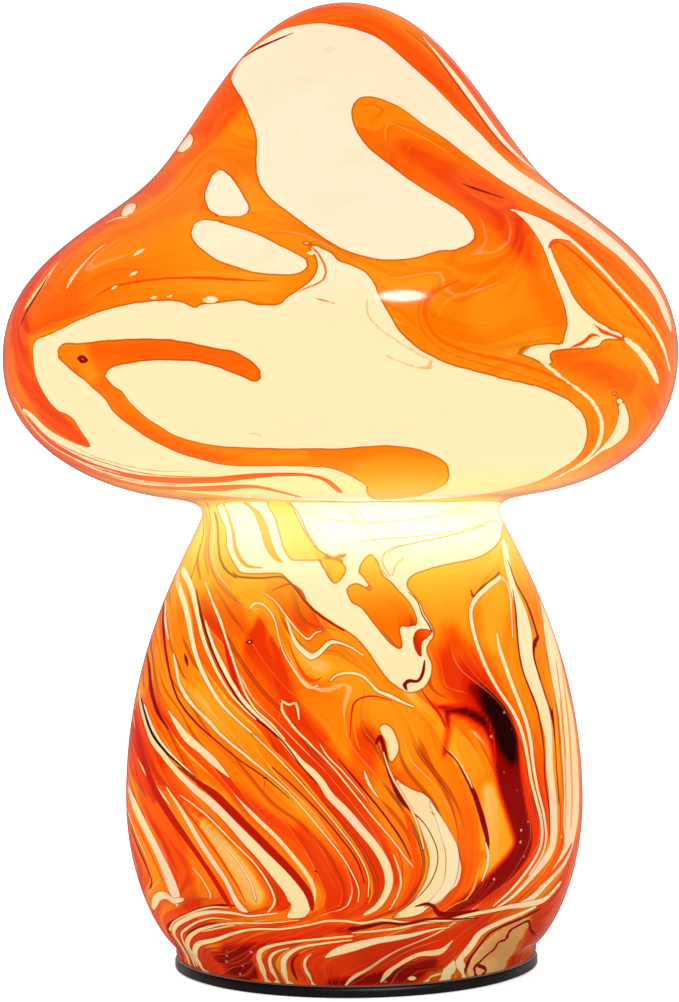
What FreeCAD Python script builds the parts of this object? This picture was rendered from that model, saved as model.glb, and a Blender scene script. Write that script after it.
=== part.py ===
import FreeCAD, Part
import os
import re

import Sketcher

# Mushroom table lamp: a one-piece blown glass cap and stem that lifts off a pressed steel base,
# with a small-screw bulb holder on a central tube. Millimetres and degrees; +Z is up, and the
# origin is the centre of the foot's underside.

SIZES = {
    # glass: outer outline from the foot lip to the crown
    "lamp_height": 250.0,
    "glass_wall": 2.6,
    "lip_radius": 46.9,
    "lip_depth": 2.7,
    "lip_polish": 0.5,
    "lip_crease": 1.2,
    "belly_radius": 59.4,
    "belly_height": 43.4,
    "neck_radius": 38.7,
    "neck_height": 118.0,
    "neck_flare": 9.7,
    "neck_rise": 3.8,
    "rim_radius": 87.4,
    "rim_height": 157.8,
    "flank_inset": 35.4,
    "flank_drop": 47.2,
    # glass: slopes of the outline, and how far each curve runs before it turns
    "foot_slope": 35.7,
    "under_slope": 9.0,
    "flank_slope": 44.4,
    "foot_reach": 6.5,
    "belly_fall": 18.8,
    "belly_climb": 43.2,
    "neck_entry": 5.0,
    "neck_turn": 2.7,
    "under_turn": 3.2,
    "under_reach": 19.1,
    "rim_fall": 22.6,
    "rim_climb": 24.5,
    "flank_fall": 16.7,
    "flank_climb": 19.7,
    "crown_reach": 26.7,
    # silicone ring under the glass lip
    "ring_floor": 0.4,
    "ring_leg": 0.6,
    "ring_leg_height": 1.6,
    "ring_play": 0.2,
    # base pan and foam foot
    "foot_thickness": 2.0,
    "foot_width": 6.6,
    "foot_gap": 0.3,
    "sheet_gauge": 0.7,
    "bend_radius": 0.4,
    "pan_margin": 0.3,
    "skirt_clearance": 0.4,
    "plateau_gap": 3.9,
    "plateau_draft": 1.0,
    "plateau_rise": 8.3,
    "cord_slot_width": 7.0,
    "cord_slot_height": 3.4,
    # central tube and what clamps it
    "tube_radius": 5.0,
    "tube_bore_radius": 3.8,
    "tube_tail": 1.7,
    "tube_chamfer": 0.4,
    "thread_play": 0.1,
    "thread_grip": 8.0,
    "washer_radius": 9.0,
    "washer_thickness": 1.0,
    "nut_flats": 14.0,
    "nut_height": 3.2,
    "riser_radius": 6.5,
    "riser_length": 22.0,
    "bushing_wall": 1.5,
    "bushing_bore_radius": 4.1,
    "bushing_mouth": 1.4,
    "bushing_grip": 1.5,
    "bushing_round": 0.6,
    # spring clips and their rivets
    "clip_width": 8.0,
    "clip_gauge": 0.5,
    "clip_gap": 0.5,
    "clip_start": 24.0,
    "clip_overhang": 1.6,
    "clip_bulge_height": 1.9,
    "clip_tip_height": 0.4,
    "clip_tip_return": 1.4,
    "clip_bend": 0.9,
    "rivet_circle": 30.0,
    "rivet_radius": 1.6,
    "rivet_play": 0.05,
    "rivet_head_radius": 3.0,
    "rivet_head_height": 1.1,
    "rivet_tail_radius": 2.5,
    "rivet_tail_height": 0.9,
    # bulb holder
    "holder_radius": 14.0,
    "holder_wall": 1.6,
    "collar_radius": 8.0,
    "collar_height": 6.0,
    "cap_height": 16.0,
    "cap_shoulder": 7.5,
    "spigot_height": 2.5,
    "spigot_play": 0.1,
    "lock_screw_radius": 1.5,
    "lock_screw_play": 0.05,
    "lock_screw_proud": 0.6,
    "core_height": 4.5,
    "core_play": 0.2,
    "well_radius": 5.0,
    "well_depth": 2.5,
    "terminal_spacing": 7.4,
    "terminal_radius": 1.5,
    "terminal_head_radius": 2.6,
    "terminal_head_height": 1.8,
    "terminal_depth": 3.3,
    "terminal_play": 0.1,
    "skirt_height": 31.0,
    "skirt_mouth_radius": 9.2,
    "skirt_ledge": 6.0,
    "skirt_step": 0.7,
    "sleeve_wall": 0.5,
    "sleeve_height": 18.5,
    "sleeve_flange": 1.5,
    "contact_width": 3.0,
    "contact_gauge": 0.35,
    "contact_rise": 1.5,
    "contact_reach": 4.4,
    # bulb
    "screw_radius": 6.9,
    "screw_play": 0.15,
    "screw_length": 15.6,
    "screw_wall": 0.35,
    "flare_radius": 8.4,
    "flare_rise": 3.5,
    "flare_band": 2.5,
    "tip_gap": 0.1,
    "tip_radius": 2.4,
    "tip_height": 1.3,
    "insulator_top_radius": 6.3,
    "insulator_height": 3.0,
    "housing_foot_radius": 9.4,
    "housing_play": 0.1,
    "globe_radius": 22.5,
    "globe_wall": 1.1,
    "globe_seat": 16.0,
    "bulb_length": 77.9,
    "board_radius": 12.5,
    "board_thickness": 1.2,
    "board_stand": 1.5,
}

CLIP_ANGLES = (30.0, 150.0, 270.0)
ROUND = 360.0

document = FreeCAD.newDocument("mushroom_lamp")
sheet = document.addObject("Spreadsheet::Sheet", "Sizes")
for row, (name, size) in enumerate(SIZES.items(), start=1):
    sheet.set(f"A{row}", name)
    sheet.set(f"B{row}", str(size))
    sheet.setAlias(f"B{row}", name)
document.recompute()

# Heights and radii that follow from the sizes, from the table upwards
LEDGE_TOP = "(foot_thickness + sheet_gauge)"
GLASS_BOTTOM = f"({LEDGE_TOP} + ring_floor)"
LIP_TOP = f"({GLASS_BOTTOM} + lip_depth)"
PLATEAU_TOP = f"({LEDGE_TOP} + plateau_rise)"
PLATEAU_UNDER = f"({PLATEAU_TOP} - sheet_gauge)"
NUT_TOP = f"({PLATEAU_UNDER} - washer_thickness)"
NUT_BOTTOM = f"({NUT_TOP} - nut_height)"
TUBE_BOTTOM = f"({NUT_BOTTOM} - tube_tail)"
RISER_BOTTOM = f"({PLATEAU_TOP} + washer_thickness)"
HOLDER_BOTTOM = f"({RISER_BOTTOM} + riser_length)"
TUBE_TOP = f"({HOLDER_BOTTOM} + thread_grip)"
CAP_TOP = f"({HOLDER_BOTTOM} + cap_height)"
CORE_BOTTOM = f"({CAP_TOP} + spigot_height)"
CORE_TOP = f"({CORE_BOTTOM} + core_height)"
WELL_FLOOR = f"({CORE_TOP} - well_depth)"
CONTACT_TOP = f"({WELL_FLOOR} + contact_rise)"
HOLDER_TOP = f"({CAP_TOP} + skirt_height)"
BULB_BOTTOM = f"({CONTACT_TOP} + tip_gap)"
INSULATOR_BOTTOM = f"({BULB_BOTTOM} + tip_height)"
SCREW_BOTTOM = f"({INSULATOR_BOTTOM} + insulator_height)"
SCREW_TOP = f"({SCREW_BOTTOM} + screw_length)"
FLARE_TOP = f"({SCREW_TOP} + flare_rise)"
SCREW_CAP_TOP = f"({FLARE_TOP} + flare_band)"
BULB_TOP = f"({BULB_BOTTOM} + bulb_length)"
GLOBE_CENTRE = f"({BULB_TOP} - globe_radius)"
HOUSING_TOP = f"({GLOBE_CENTRE} - globe_seat)"
BOARD_BOTTOM = f"({HOUSING_TOP} + board_stand)"

PAN_RADIUS = "(lip_radius + pan_margin)"
TUBE_HOLE_RADIUS = "(tube_radius + thread_play)"
LIP_INNER_RADIUS = "(lip_radius - glass_wall)"
RING_LEG_OUTER = f"({LIP_INNER_RADIUS} - ring_play)"
RING_LEG_INNER = f"({RING_LEG_OUTER} - ring_leg)"
PLATEAU_FOOT_RADIUS = f"({RING_LEG_INNER} - plateau_gap)"
PLATEAU_RADIUS = f"({PLATEAU_FOOT_RADIUS} - plateau_draft)"
HOLDER_BORE = "(holder_radius - holder_wall)"
SLEEVE_BORE = "(screw_radius + screw_play)"
SCREW_BORE = "(screw_radius - screw_wall)"

def tied(expression):
    """The expression with each size's name pointing into the sheet."""
    return re.sub(r"[a-z][a-z_]*", lambda word: "Sizes." * (word[0] in SIZES) + word[0], expression)


def number(expression):
    return float(sheet.evalExpression(expression))


def new_sketch(body, role, name):
    sketch = body.newObject("Sketcher::SketchObject", name)
    plane = next(item for item in body.Origin.OriginFeatures if item.Role == role)
    sketch.AttachmentSupport = [(plane, "")]
    sketch.MapMode = "FlatFace"
    return sketch


def pin(sketch, item, end, place):
    """Holds one point of the sketch at a pair of expressions."""
    for kind, expression in zip(("DistanceX", "DistanceY"), place):
        rule = Sketcher.Constraint(kind, -1, 1, item, end, number(expression))
        index = sketch.addConstraint(rule)
        sketch.setExpression(f"Constraints[{index}]", tied(expression))


def spot(place):
    return FreeCAD.Vector(number(place[0]), number(place[1]), 0)


def trace(sketch, start, steps):
    """Closed outline: each step is a corner, or two handles and the point that a curve runs to."""
    first = None
    last = None
    here = start
    for step in steps + [start]:
        if len(step) == 2:
            place = step
            item = sketch.addGeometry(Part.LineSegment(spot(here), spot(place)), False)
        else:
            handles, place = step[:2], step[2]
            poles = [here, *handles, place]
            curve = Part.BSplineCurve([spot(pole) for pole in poles], [4, 4], [0, 1], False, 3)
            item = sketch.addGeometry(curve, False)
            first_pole = sketch.GeometryCount
            sketch.exposeInternalGeometry(item)
            for offset, handle in enumerate(handles, start=1):
                pin(sketch, first_pole + offset, 3, handle)
        if last is None:
            first = item
        else:
            sketch.addConstraint(Sketcher.Constraint("Coincident", last, 2, item, 1))
        if place is start:
            sketch.addConstraint(Sketcher.Constraint("Coincident", item, 2, first, 1))
        pin(sketch, item, 2, place)
        last = item
        here = place


def new_body(label):
    body = document.addObject("PartDesign::Body", label)
    body.Label = label
    return body


def turned(label, start, steps):
    """A body turned about +Z from a closed outline of radius and height."""
    body = new_body(label)
    sketch = new_sketch(body, "XZ_Plane", f"{label}_outline")
    trace(sketch, start, steps)
    feature = body.newObject("PartDesign::Revolution", f"{label}_turn")
    feature.Profile = sketch
    feature.ReferenceAxis = (sketch, ["V_Axis"])
    feature.Angle = ROUND
    sketch.Visibility = False
    document.recompute()
    return body


def padded(label, role, start, steps, length):
    """A body as thick as length, to both sides of a plane of its origin."""
    body = new_body(label)
    sketch = new_sketch(body, role, f"{label}_outline")
    trace(sketch, start, steps)
    feature = body.newObject("PartDesign::Pad", f"{label}_pad")
    feature.Profile = sketch
    feature.Midplane = True
    feature.setExpression("Length", tied(length))
    document.recompute()
    return body


def near(first, second):
    return abs(first - second) < 1e-4


def rings(body, places):
    """Names of the body's round edges at each radius and height."""
    names = []
    for radius, height in places:
        for index, edge in enumerate(body.Tip.Shape.Edges, start=1):
            box = edge.BoundBox
            level = near(box.ZMin, number(height)) and near(box.ZMax, number(height))
            if level and abs(box.XMax - number(radius)) < 1e-3:
                names.append(f"Edge{index}")
    return names


def bends(body, places):
    """Names of the body's straight edges along Y at each x and z."""
    names = []
    for x, z in places:
        for index, edge in enumerate(body.Tip.Shape.Edges, start=1):
            box = edge.BoundBox
            along = near(box.XMin, box.XMax) and near(box.ZMin, box.ZMax)
            if along and near(box.XMin, number(x)) and near(box.ZMin, number(z)):
                names.append(f"Edge{index}")
    return names


def dress(body, kind, edges, size, name):
    """Adds a Fillet or Chamfer of the given size to the named edges."""
    base = body.Tip
    feature = body.newObject(f"PartDesign::{kind}", name)
    feature.Base = (base, edges)
    feature.setExpression("Radius" if kind == "Fillet" else "Size", tied(size))
    body.Tip = feature
    document.recompute()


def pocket(body, sketch, name, reversed_way):
    """Cuts the sketch right through the body to one side of its plane."""
    before = body.Tip.Shape.Volume
    feature = body.newObject("PartDesign::Pocket", name)
    feature.Profile = sketch
    feature.Type = "ThroughAll"
    feature.Reversed = reversed_way
    document.recompute()
    if feature.Shape.Volume > before - 1e-3:
        raise RuntimeError(f"{name} cuts nothing")
    return feature


def circle(sketch, place, radius):
    disc = Part.Circle(spot(place), FreeCAD.Vector(0, 0, 1), number(radius))
    item = sketch.addGeometry(disc, False)
    pin(sketch, item, 3, place)
    index = sketch.addConstraint(Sketcher.Constraint("Radius", item, number(radius)))
    sketch.setExpression(f"Constraints[{index}]", tied(radius))


def ring(label, inner, outer, bottom, top):
    """A plain ring or tube between two radii and two heights."""
    return turned(label, (inner, bottom), [(outer, bottom), (outer, top), (inner, top)])


def cord_slot(body):
    """Slot at the back, from below the foot up through the ledge, for a flat cord."""
    sketch = new_sketch(body, "XZ_Plane", f"{body.Label}_slot_outline")
    low = "-cord_slot_height"
    high = "cord_slot_height"
    side = "cord_slot_width / 2"
    trace(sketch, (f"-{side}", low), [(side, low), (side, high), (f"-{side}", high)])
    pocket(body, sketch, f"{body.Label}_slot", False)


# Glass

def away(place, slope, reach):
    """The point that lies at a reach from place, along a slope above the horizontal."""
    return (f"{place[0]} + ({reach}) * cos({slope})", f"{place[1]} + ({reach}) * sin({slope})")


def glass_curves(depth):
    """Curves of the glass outline, foot to crown, at a depth under its outer face."""

    def tighter(reach, turn):
        return f"{reach} - {depth} * 4 / 3 * tan(({turn}) / 4)"

    def wider(reach, turn):
        return f"{reach} + {depth} * 4 / 3 * tan(({turn}) / 4)"

    mitre = f"{depth} * (1 - sin(foot_slope)) / cos(foot_slope)"
    foot = (f"lip_radius - {depth}", f"{LIP_TOP} + {mitre}")
    belly = (f"belly_radius - {depth}", "belly_height")
    neck = (f"neck_radius - {depth}", "neck_height")
    under = (f"neck_radius + neck_flare - {depth} * sin(under_slope)",
             f"neck_height + neck_rise + {depth} * cos(under_slope)")
    rim = (f"rim_radius - {depth}", "rim_height")
    flank = (f"rim_radius - flank_inset - {depth} * sin(flank_slope)",
             f"lamp_height - flank_drop - {depth} * cos(flank_slope)")
    crown = ("0", f"lamp_height - {depth}")
    foot_turn = "90 - foot_slope"
    under_turn = "90 - under_slope"
    flank_turn = "90 - flank_slope"
    return [
        (foot, away(foot, "foot_slope", "foot_reach"),
         away(belly, "-90", tighter("belly_fall", foot_turn)), belly),
        (belly, away(belly, "90", "belly_climb"), away(neck, "-90", "neck_entry"), neck),
        (neck, away(neck, "90", wider("neck_turn", under_turn)),
         away(under, "180 + under_slope", wider("under_turn", under_turn)), under),
        (under, away(under, "under_slope", tighter("under_reach", under_turn)),
         away(rim, "-90", tighter("rim_fall", under_turn)), rim),
        (rim, away(rim, "90", tighter("rim_climb", flank_turn)),
         away(flank, "-flank_slope", tighter("flank_fall", flank_turn)), flank),
        (flank, away(flank, "180 - flank_slope", tighter("flank_climb", "flank_slope")),
         away(crown, "0", tighter("crown_reach", "flank_slope")), crown),
    ]


def make_glass_shade():
    outer = glass_curves("0")
    inner = glass_curves("glass_wall")
    steps = [outer[0][0]]
    steps += [(leave, arrive, end) for begin, leave, arrive, end in outer]
    steps += [inner[-1][-1]]
    steps += [(arrive, leave, begin) for begin, leave, arrive, end in reversed(inner)]
    steps += [(LIP_INNER_RADIUS, GLASS_BOTTOM)]
    body = turned("glass_shade", ("lip_radius", GLASS_BOTTOM), steps)
    rim_edges = rings(body, [("lip_radius", GLASS_BOTTOM), (LIP_INNER_RADIUS, GLASS_BOTTOM)])
    dress(body, "Fillet", rim_edges, "lip_polish", "lip_polish_round")
    dress(body, "Fillet", rings(body, [("lip_radius", LIP_TOP)]), "lip_crease", "lip_crease_round")
    return body


# Silicone ring under the glass: a flat floor with a leg up inside the lip

def make_lip_ring():
    edge = "(lip_radius - ring_play)"
    leg_top = f"{GLASS_BOTTOM} + ring_leg_height"
    steps = [(edge, LEDGE_TOP), (edge, GLASS_BOTTOM), (RING_LEG_OUTER, GLASS_BOTTOM),
             (RING_LEG_OUTER, leg_top), (RING_LEG_INNER, leg_top)]
    return turned("lip_ring", (RING_LEG_INNER, LEDGE_TOP), steps)


# Base pan: one pressed sheet, with skirt, ledge for the glass and raised plateau for the holder

def make_base_pan():
    skirt_inner = f"{PAN_RADIUS} - sheet_gauge"
    wall_foot = f"{PLATEAU_FOOT_RADIUS} - sheet_gauge"
    wall_head = f"{PLATEAU_RADIUS} - sheet_gauge"
    steps = [
        (PAN_RADIUS, LEDGE_TOP), (PLATEAU_FOOT_RADIUS, LEDGE_TOP), (PLATEAU_RADIUS, PLATEAU_TOP),
        (TUBE_HOLE_RADIUS, PLATEAU_TOP), (TUBE_HOLE_RADIUS, PLATEAU_UNDER),
        (wall_head, PLATEAU_UNDER), (wall_foot, "foot_thickness"),
        (skirt_inner, "foot_thickness"), (skirt_inner, "skirt_clearance"),
    ]
    body = turned("base_pan", (PAN_RADIUS, "skirt_clearance"), steps)
    outside = rings(body, [(PAN_RADIUS, LEDGE_TOP), (PLATEAU_RADIUS, PLATEAU_TOP),
                           (wall_foot, "foot_thickness")])
    dress(body, "Fillet", outside, "bend_radius + sheet_gauge", "outside_bends")
    inside = rings(body, [(skirt_inner, "foot_thickness"), (wall_head, PLATEAU_UNDER),
                          (PLATEAU_FOOT_RADIUS, LEDGE_TOP)])
    dress(body, "Fillet", inside, "bend_radius", "inside_bends")
    cord_slot(body)
    holes = new_sketch(body, "XY_Plane", "rivet_hole_outline")
    place = (f"rivet_circle * cos({CLIP_ANGLES[0]})", f"rivet_circle * sin({CLIP_ANGLES[0]})")
    circle(holes, place, "rivet_radius + rivet_play")
    hole = pocket(body, holes, "rivet_hole", True)
    pattern = body.newObject("PartDesign::PolarPattern", "rivet_holes")
    pattern.Originals = [hole]
    pattern.Axis = (holes, ["N_Axis"])
    pattern.Angle = ROUND
    pattern.Occurrences = len(CLIP_ANGLES)
    body.Tip = pattern
    document.recompute()
    return body


def make_foot_ring():
    outer = f"({PAN_RADIUS} - sheet_gauge - foot_gap)"
    body = ring("foot_ring", f"{outer} - foot_width", outer, "0", "foot_thickness")
    cord_slot(body)
    return body


# Central tube, and the washers, nut, bushing and riser on it

def make_threaded_tube():
    body = ring("threaded_tube", "tube_bore_radius", "tube_radius", TUBE_BOTTOM, TUBE_TOP)
    ends = rings(body, [("tube_radius", TUBE_BOTTOM), ("tube_radius", TUBE_TOP)])
    dress(body, "Chamfer", ends, "tube_chamfer", "tube_end_chamfers")
    return body


def make_upper_washer():
    return ring("upper_washer", TUBE_HOLE_RADIUS, "washer_radius", PLATEAU_TOP, RISER_BOTTOM)


def make_lower_washer():
    return ring("lower_washer", TUBE_HOLE_RADIUS, "washer_radius", NUT_TOP, PLATEAU_UNDER)


def make_lock_nut():
    hexagon = document.addObject("Part::Prism", "nut_hexagon")
    hexagon.Polygon = 6
    hexagon.setExpression("Circumradius", tied("nut_flats / sqrt(3)"))
    hexagon.setExpression("Height", tied("nut_height"))
    hexagon.setExpression("Placement.Base.z", tied(NUT_BOTTOM))
    bore = document.addObject("Part::Cylinder", "nut_bore")
    bore.setExpression("Radius", tied(TUBE_HOLE_RADIUS))
    bore.setExpression("Height", tied("nut_height"))
    bore.setExpression("Placement.Base.z", tied(NUT_BOTTOM))
    nut = document.addObject("Part::Cut", "lock_nut")
    nut.Base = hexagon
    nut.Tool = bore
    document.recompute()
    return nut


def make_wire_bushing():
    mouth = f"({TUBE_BOTTOM} - bushing_mouth)"
    top = f"({TUBE_BOTTOM} + bushing_grip)"
    outer = f"({TUBE_HOLE_RADIUS} + bushing_wall)"
    steps = [(outer, mouth), (outer, top), (TUBE_HOLE_RADIUS, top),
             (TUBE_HOLE_RADIUS, TUBE_BOTTOM), ("bushing_bore_radius", TUBE_BOTTOM)]
    body = turned("wire_bushing", ("bushing_bore_radius", mouth), steps)
    lips = rings(body, [(outer, mouth), ("bushing_bore_radius", mouth)])
    dress(body, "Fillet", lips, "bushing_round", "bushing_mouth_round")
    return body


def make_riser_sleeve():
    return ring("riser_sleeve", TUBE_HOLE_RADIUS, "riser_radius", RISER_BOTTOM, HOLDER_BOTTOM)


# Spring clips that keep the glass lip centred, and the rivets that hold them to the plateau

def make_spring_clip(label, angle):
    bulge = f"({RING_LEG_INNER} - clip_gap)"
    bulge_height = f"({LEDGE_TOP} + clip_bulge_height)"
    tip_height = f"({LEDGE_TOP} + clip_tip_height)"
    top = f"({PLATEAU_TOP} + clip_gauge)"
    elbow = f"({PLATEAU_RADIUS} + clip_overhang)"
    strip = "clip_gauge * 1.1"
    steps = [
        (elbow, top), (bulge, bulge_height), (f"{bulge} - clip_tip_return", tip_height),
        (f"{bulge} - clip_tip_return - {strip}", f"{tip_height} + {strip}"),
        (f"{bulge} - {strip}", bulge_height), (f"{elbow} - clip_gauge", PLATEAU_TOP),
        ("clip_start", PLATEAU_TOP),
    ]
    body = padded(label, "XZ_Plane", ("clip_start", top), steps, "clip_width")
    dress(body, "Fillet", bends(body, [(elbow, top), (bulge, bulge_height)]), "clip_bend",
          f"{label}_bends")
    hole = new_sketch(body, "XY_Plane", f"{label}_hole_outline")
    circle(hole, ("rivet_circle", "0"), "rivet_radius + rivet_play")
    pocket(body, hole, f"{label}_hole", True)
    turn = FreeCAD.Rotation(FreeCAD.Vector(0, 0, 1), angle)
    body.Placement = FreeCAD.Placement(FreeCAD.Vector(), turn)
    return body


def make_clip_rivets():
    under = f"({PLATEAU_UNDER} - rivet_tail_height)"
    seat = f"({PLATEAU_TOP} + clip_gauge)"
    crown = ("0", f"{seat} + rivet_head_height")
    rivets = []
    for index, angle in enumerate(CLIP_ANGLES, start=1):
        steps = [
            ("rivet_tail_radius", under), ("rivet_tail_radius", PLATEAU_UNDER),
            ("rivet_radius", PLATEAU_UNDER), ("rivet_radius", seat), ("rivet_head_radius", seat),
            (("rivet_head_radius", f"{seat} + rivet_head_height / 2"),
             ("rivet_head_radius / 2", crown[1]), crown),
        ]
        rivet = turned(f"rivet_{index}", ("0", under), steps)
        rivet.setExpression("Placement.Base.x", tied(f"rivet_circle * cos({angle})"))
        rivet.setExpression("Placement.Base.y", tied(f"rivet_circle * sin({angle})"))
        rivets.append(rivet)
    group = document.addObject("Part::Compound", "clip_rivets")
    group.Links = rivets
    document.recompute()
    return group


# Bulb holder: cap on the tube, core with contact and terminals, brass sleeve, outer skirt

def make_holder_cap():
    collar_top = f"({HOLDER_BOTTOM} + collar_height)"
    shoulder = f"({HOLDER_BOTTOM} + collar_height + cap_shoulder)"
    spigot = f"({HOLDER_BORE} - spigot_play)"
    inside = f"({HOLDER_BORE} - spigot_play - holder_wall)"
    steps = [
        ("collar_radius", HOLDER_BOTTOM), ("collar_radius", collar_top),
        (("(collar_radius + holder_radius) / 2", collar_top),
         ("holder_radius", f"(({collar_top}) + ({shoulder})) / 2"), ("holder_radius", shoulder)),
        ("holder_radius", CAP_TOP), (spigot, CAP_TOP), (spigot, CORE_BOTTOM),
        (inside, CORE_BOTTOM), (inside, shoulder),
        ("collar_radius", f"{TUBE_TOP}"), (TUBE_HOLE_RADIUS, TUBE_TOP),
    ]
    body = turned("holder_cap", (TUBE_HOLE_RADIUS, HOLDER_BOTTOM), steps)
    hole = new_sketch(body, "YZ_Plane", "lock_screw_outline")
    circle(hole, ("0", f"{HOLDER_BOTTOM} + collar_height / 2"), "lock_screw_radius + lock_screw_play")
    pocket(body, hole, "lock_screw_hole", True)
    return body


def make_holder_lock_screw():
    screw = document.addObject("Part::Cylinder", "holder_lock_screw")
    screw.setExpression("Radius", tied("lock_screw_radius"))
    screw.setExpression("Height", tied(f"collar_radius - {TUBE_HOLE_RADIUS} + lock_screw_proud"))
    screw.Placement.Rotation = FreeCAD.Rotation(FreeCAD.Vector(0, 1, 0), 90)
    screw.setExpression("Placement.Base.x", tied(TUBE_HOLE_RADIUS))
    screw.setExpression("Placement.Base.z", tied(f"{HOLDER_BOTTOM} + collar_height / 2"))
    document.recompute()
    return screw


def make_holder_core():
    rim = f"({HOLDER_BORE} - core_play)"
    steps = [(rim, CORE_BOTTOM), (rim, CORE_TOP), ("well_radius", CORE_TOP),
             ("well_radius", WELL_FLOOR), ("0", WELL_FLOOR)]
    body = turned("holder_core", ("0", CORE_BOTTOM), steps)
    for side, sign in (("right", ""), ("left", "-")):
        sketch = new_sketch(body, "XY_Plane", f"terminal_hole_{side}_outline")
        circle(sketch, (f"{sign}terminal_spacing", "0"), "terminal_radius + terminal_play")
        before = body.Tip.Shape.Volume
        hole = body.newObject("PartDesign::Pocket", f"terminal_hole_{side}")
        hole.Profile = sketch
        hole.Reversed = True
        hole.setExpression("Length", tied(f"{CORE_BOTTOM} + terminal_depth + terminal_play"))
        document.recompute()
        if hole.Shape.Volume > before - 1:
            raise RuntimeError("a terminal hole cuts nothing")
    return body


def make_terminal_screws():
    seat = f"({CORE_BOTTOM} - terminal_play)"
    head = f"({seat} - terminal_head_height)"
    end = f"({CORE_BOTTOM} + terminal_depth)"
    screws = []
    for side, sign in (("right", ""), ("left", "-")):
        steps = [("terminal_head_radius", head), ("terminal_head_radius", seat),
                 ("terminal_radius", seat), ("terminal_radius", end), ("0", end)]
        screw = turned(f"terminal_screw_{side}", ("0", head), steps)
        screw.setExpression("Placement.Base.x", tied(f"{sign}terminal_spacing"))
        screws.append(screw)
    group = document.addObject("Part::Compound", "terminal_screws")
    group.Links = screws
    document.recompute()
    return group


def make_holder_skirt():
    step_height = f"({CAP_TOP} + skirt_ledge)"
    roof = f"({HOLDER_TOP} - holder_wall)"
    waist = "(holder_radius - skirt_step)"
    steps = [
        ("holder_radius", CAP_TOP), ("holder_radius", step_height),
        (waist, f"{step_height} + skirt_step"), (waist, roof), (HOLDER_BORE, HOLDER_TOP),
        ("skirt_mouth_radius", HOLDER_TOP), ("skirt_mouth_radius", roof), (HOLDER_BORE, roof),
    ]
    return turned("holder_skirt", (HOLDER_BORE, CAP_TOP), steps)


def make_screw_sleeve():
    outer = f"({SLEEVE_BORE} + sleeve_wall)"
    flange = f"({outer} + sleeve_flange)"
    flange_top = f"({CORE_TOP} + sleeve_wall)"
    sleeve_top = f"({CORE_TOP} + sleeve_height)"
    steps = [(flange, CORE_TOP), (flange, flange_top), (outer, flange_top), (outer, sleeve_top),
             (SLEEVE_BORE, sleeve_top)]
    return turned("screw_sleeve", (SLEEVE_BORE, CORE_TOP), steps)


def make_centre_contact():
    under = f"({CONTACT_TOP} - contact_gauge)"
    foot_top = f"({WELL_FLOOR} + contact_gauge)"
    steps = [
        ("-contact_reach / 2", WELL_FLOOR), ("-contact_reach / 7", under),
        ("contact_reach / 2", under), ("contact_reach / 2", CONTACT_TOP),
        ("-contact_reach / 6", CONTACT_TOP), ("-contact_reach / 1.9", foot_top),
        ("-contact_reach", foot_top),
    ]
    return padded("centre_contact", "XZ_Plane", ("-contact_reach", WELL_FLOOR), steps, "contact_width")


# Bulb

def make_bulb_tip():
    crown = "tip_radius * 0.6"
    middle = f"({BULB_BOTTOM} + tip_height / 2)"
    steps = [(crown, BULB_BOTTOM), ("tip_radius", middle), ("tip_radius", INSULATOR_BOTTOM),
             ("0", INSULATOR_BOTTOM)]
    return turned("bulb_tip", ("0", BULB_BOTTOM), steps)


def make_bulb_insulator():
    steps = [("tip_radius", INSULATOR_BOTTOM), ("insulator_top_radius", SCREW_BOTTOM),
             ("0", SCREW_BOTTOM)]
    return turned("bulb_insulator", ("0", INSULATOR_BOTTOM), steps)


def make_bulb_screw_cap():
    heel = f"({SCREW_BOTTOM} + screw_wall * 2)"
    flare_bore = "(flare_radius - screw_wall)"
    steps = [
        ("insulator_top_radius", SCREW_BOTTOM), ("screw_radius", heel), ("screw_radius", SCREW_TOP),
        ("flare_radius", FLARE_TOP), ("flare_radius", SCREW_CAP_TOP), (flare_bore, SCREW_CAP_TOP),
        (flare_bore, FLARE_TOP), (SCREW_BORE, SCREW_TOP), (SCREW_BORE, heel),
    ]
    return turned("bulb_screw_cap", ("insulator_top_radius - screw_wall", SCREW_BOTTOM), steps)


def make_bulb_housing():
    plug = f"({SCREW_BORE} - housing_play)"
    plug_bottom = f"({SCREW_BOTTOM} + screw_wall * 4)"
    collar = "(flare_radius - screw_wall - housing_play)"
    seat = "sqrt(globe_radius ^ 2 - globe_seat ^ 2)"
    inside = "(sqrt((globe_radius - globe_wall) ^ 2 - globe_seat ^ 2) - housing_play)"
    climb = f"({HOUSING_TOP} - {SCREW_CAP_TOP})"
    steps = [
        (plug, plug_bottom), (plug, SCREW_TOP), (collar, FLARE_TOP), (collar, SCREW_CAP_TOP),
        ("housing_foot_radius", SCREW_CAP_TOP),
        (("housing_foot_radius", f"{SCREW_CAP_TOP} + {climb} / 2"),
         (seat, f"{HOUSING_TOP} - {climb} / 4"), (seat, HOUSING_TOP)),
        (inside, HOUSING_TOP), (inside, BOARD_BOTTOM), ("0", BOARD_BOTTOM),
    ]
    return turned("bulb_housing", ("0", plug_bottom), steps)


def make_bulb_led_board():
    top = f"{BOARD_BOTTOM} + board_thickness"
    return turned("bulb_led_board", ("0", BOARD_BOTTOM),
                  [("board_radius", BOARD_BOTTOM), ("board_radius", top), ("0", top)])


def make_bulb_dome():
    outside = document.addObject("Part::Sphere", "globe_outside")
    outside.setExpression("Radius", tied("globe_radius"))
    outside.setExpression("Angle1", tied("-asin(globe_seat / globe_radius)"))
    inside = document.addObject("Part::Sphere", "globe_inside")
    inside.setExpression("Radius", tied("globe_radius - globe_wall"))
    for ball in (outside, inside):
        ball.setExpression("Placement.Base.z", tied(GLOBE_CENTRE))
    dome = document.addObject("Part::Cut", "bulb_dome")
    dome.Base = outside
    dome.Tool = inside
    document.recompute()
    return dome


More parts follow.
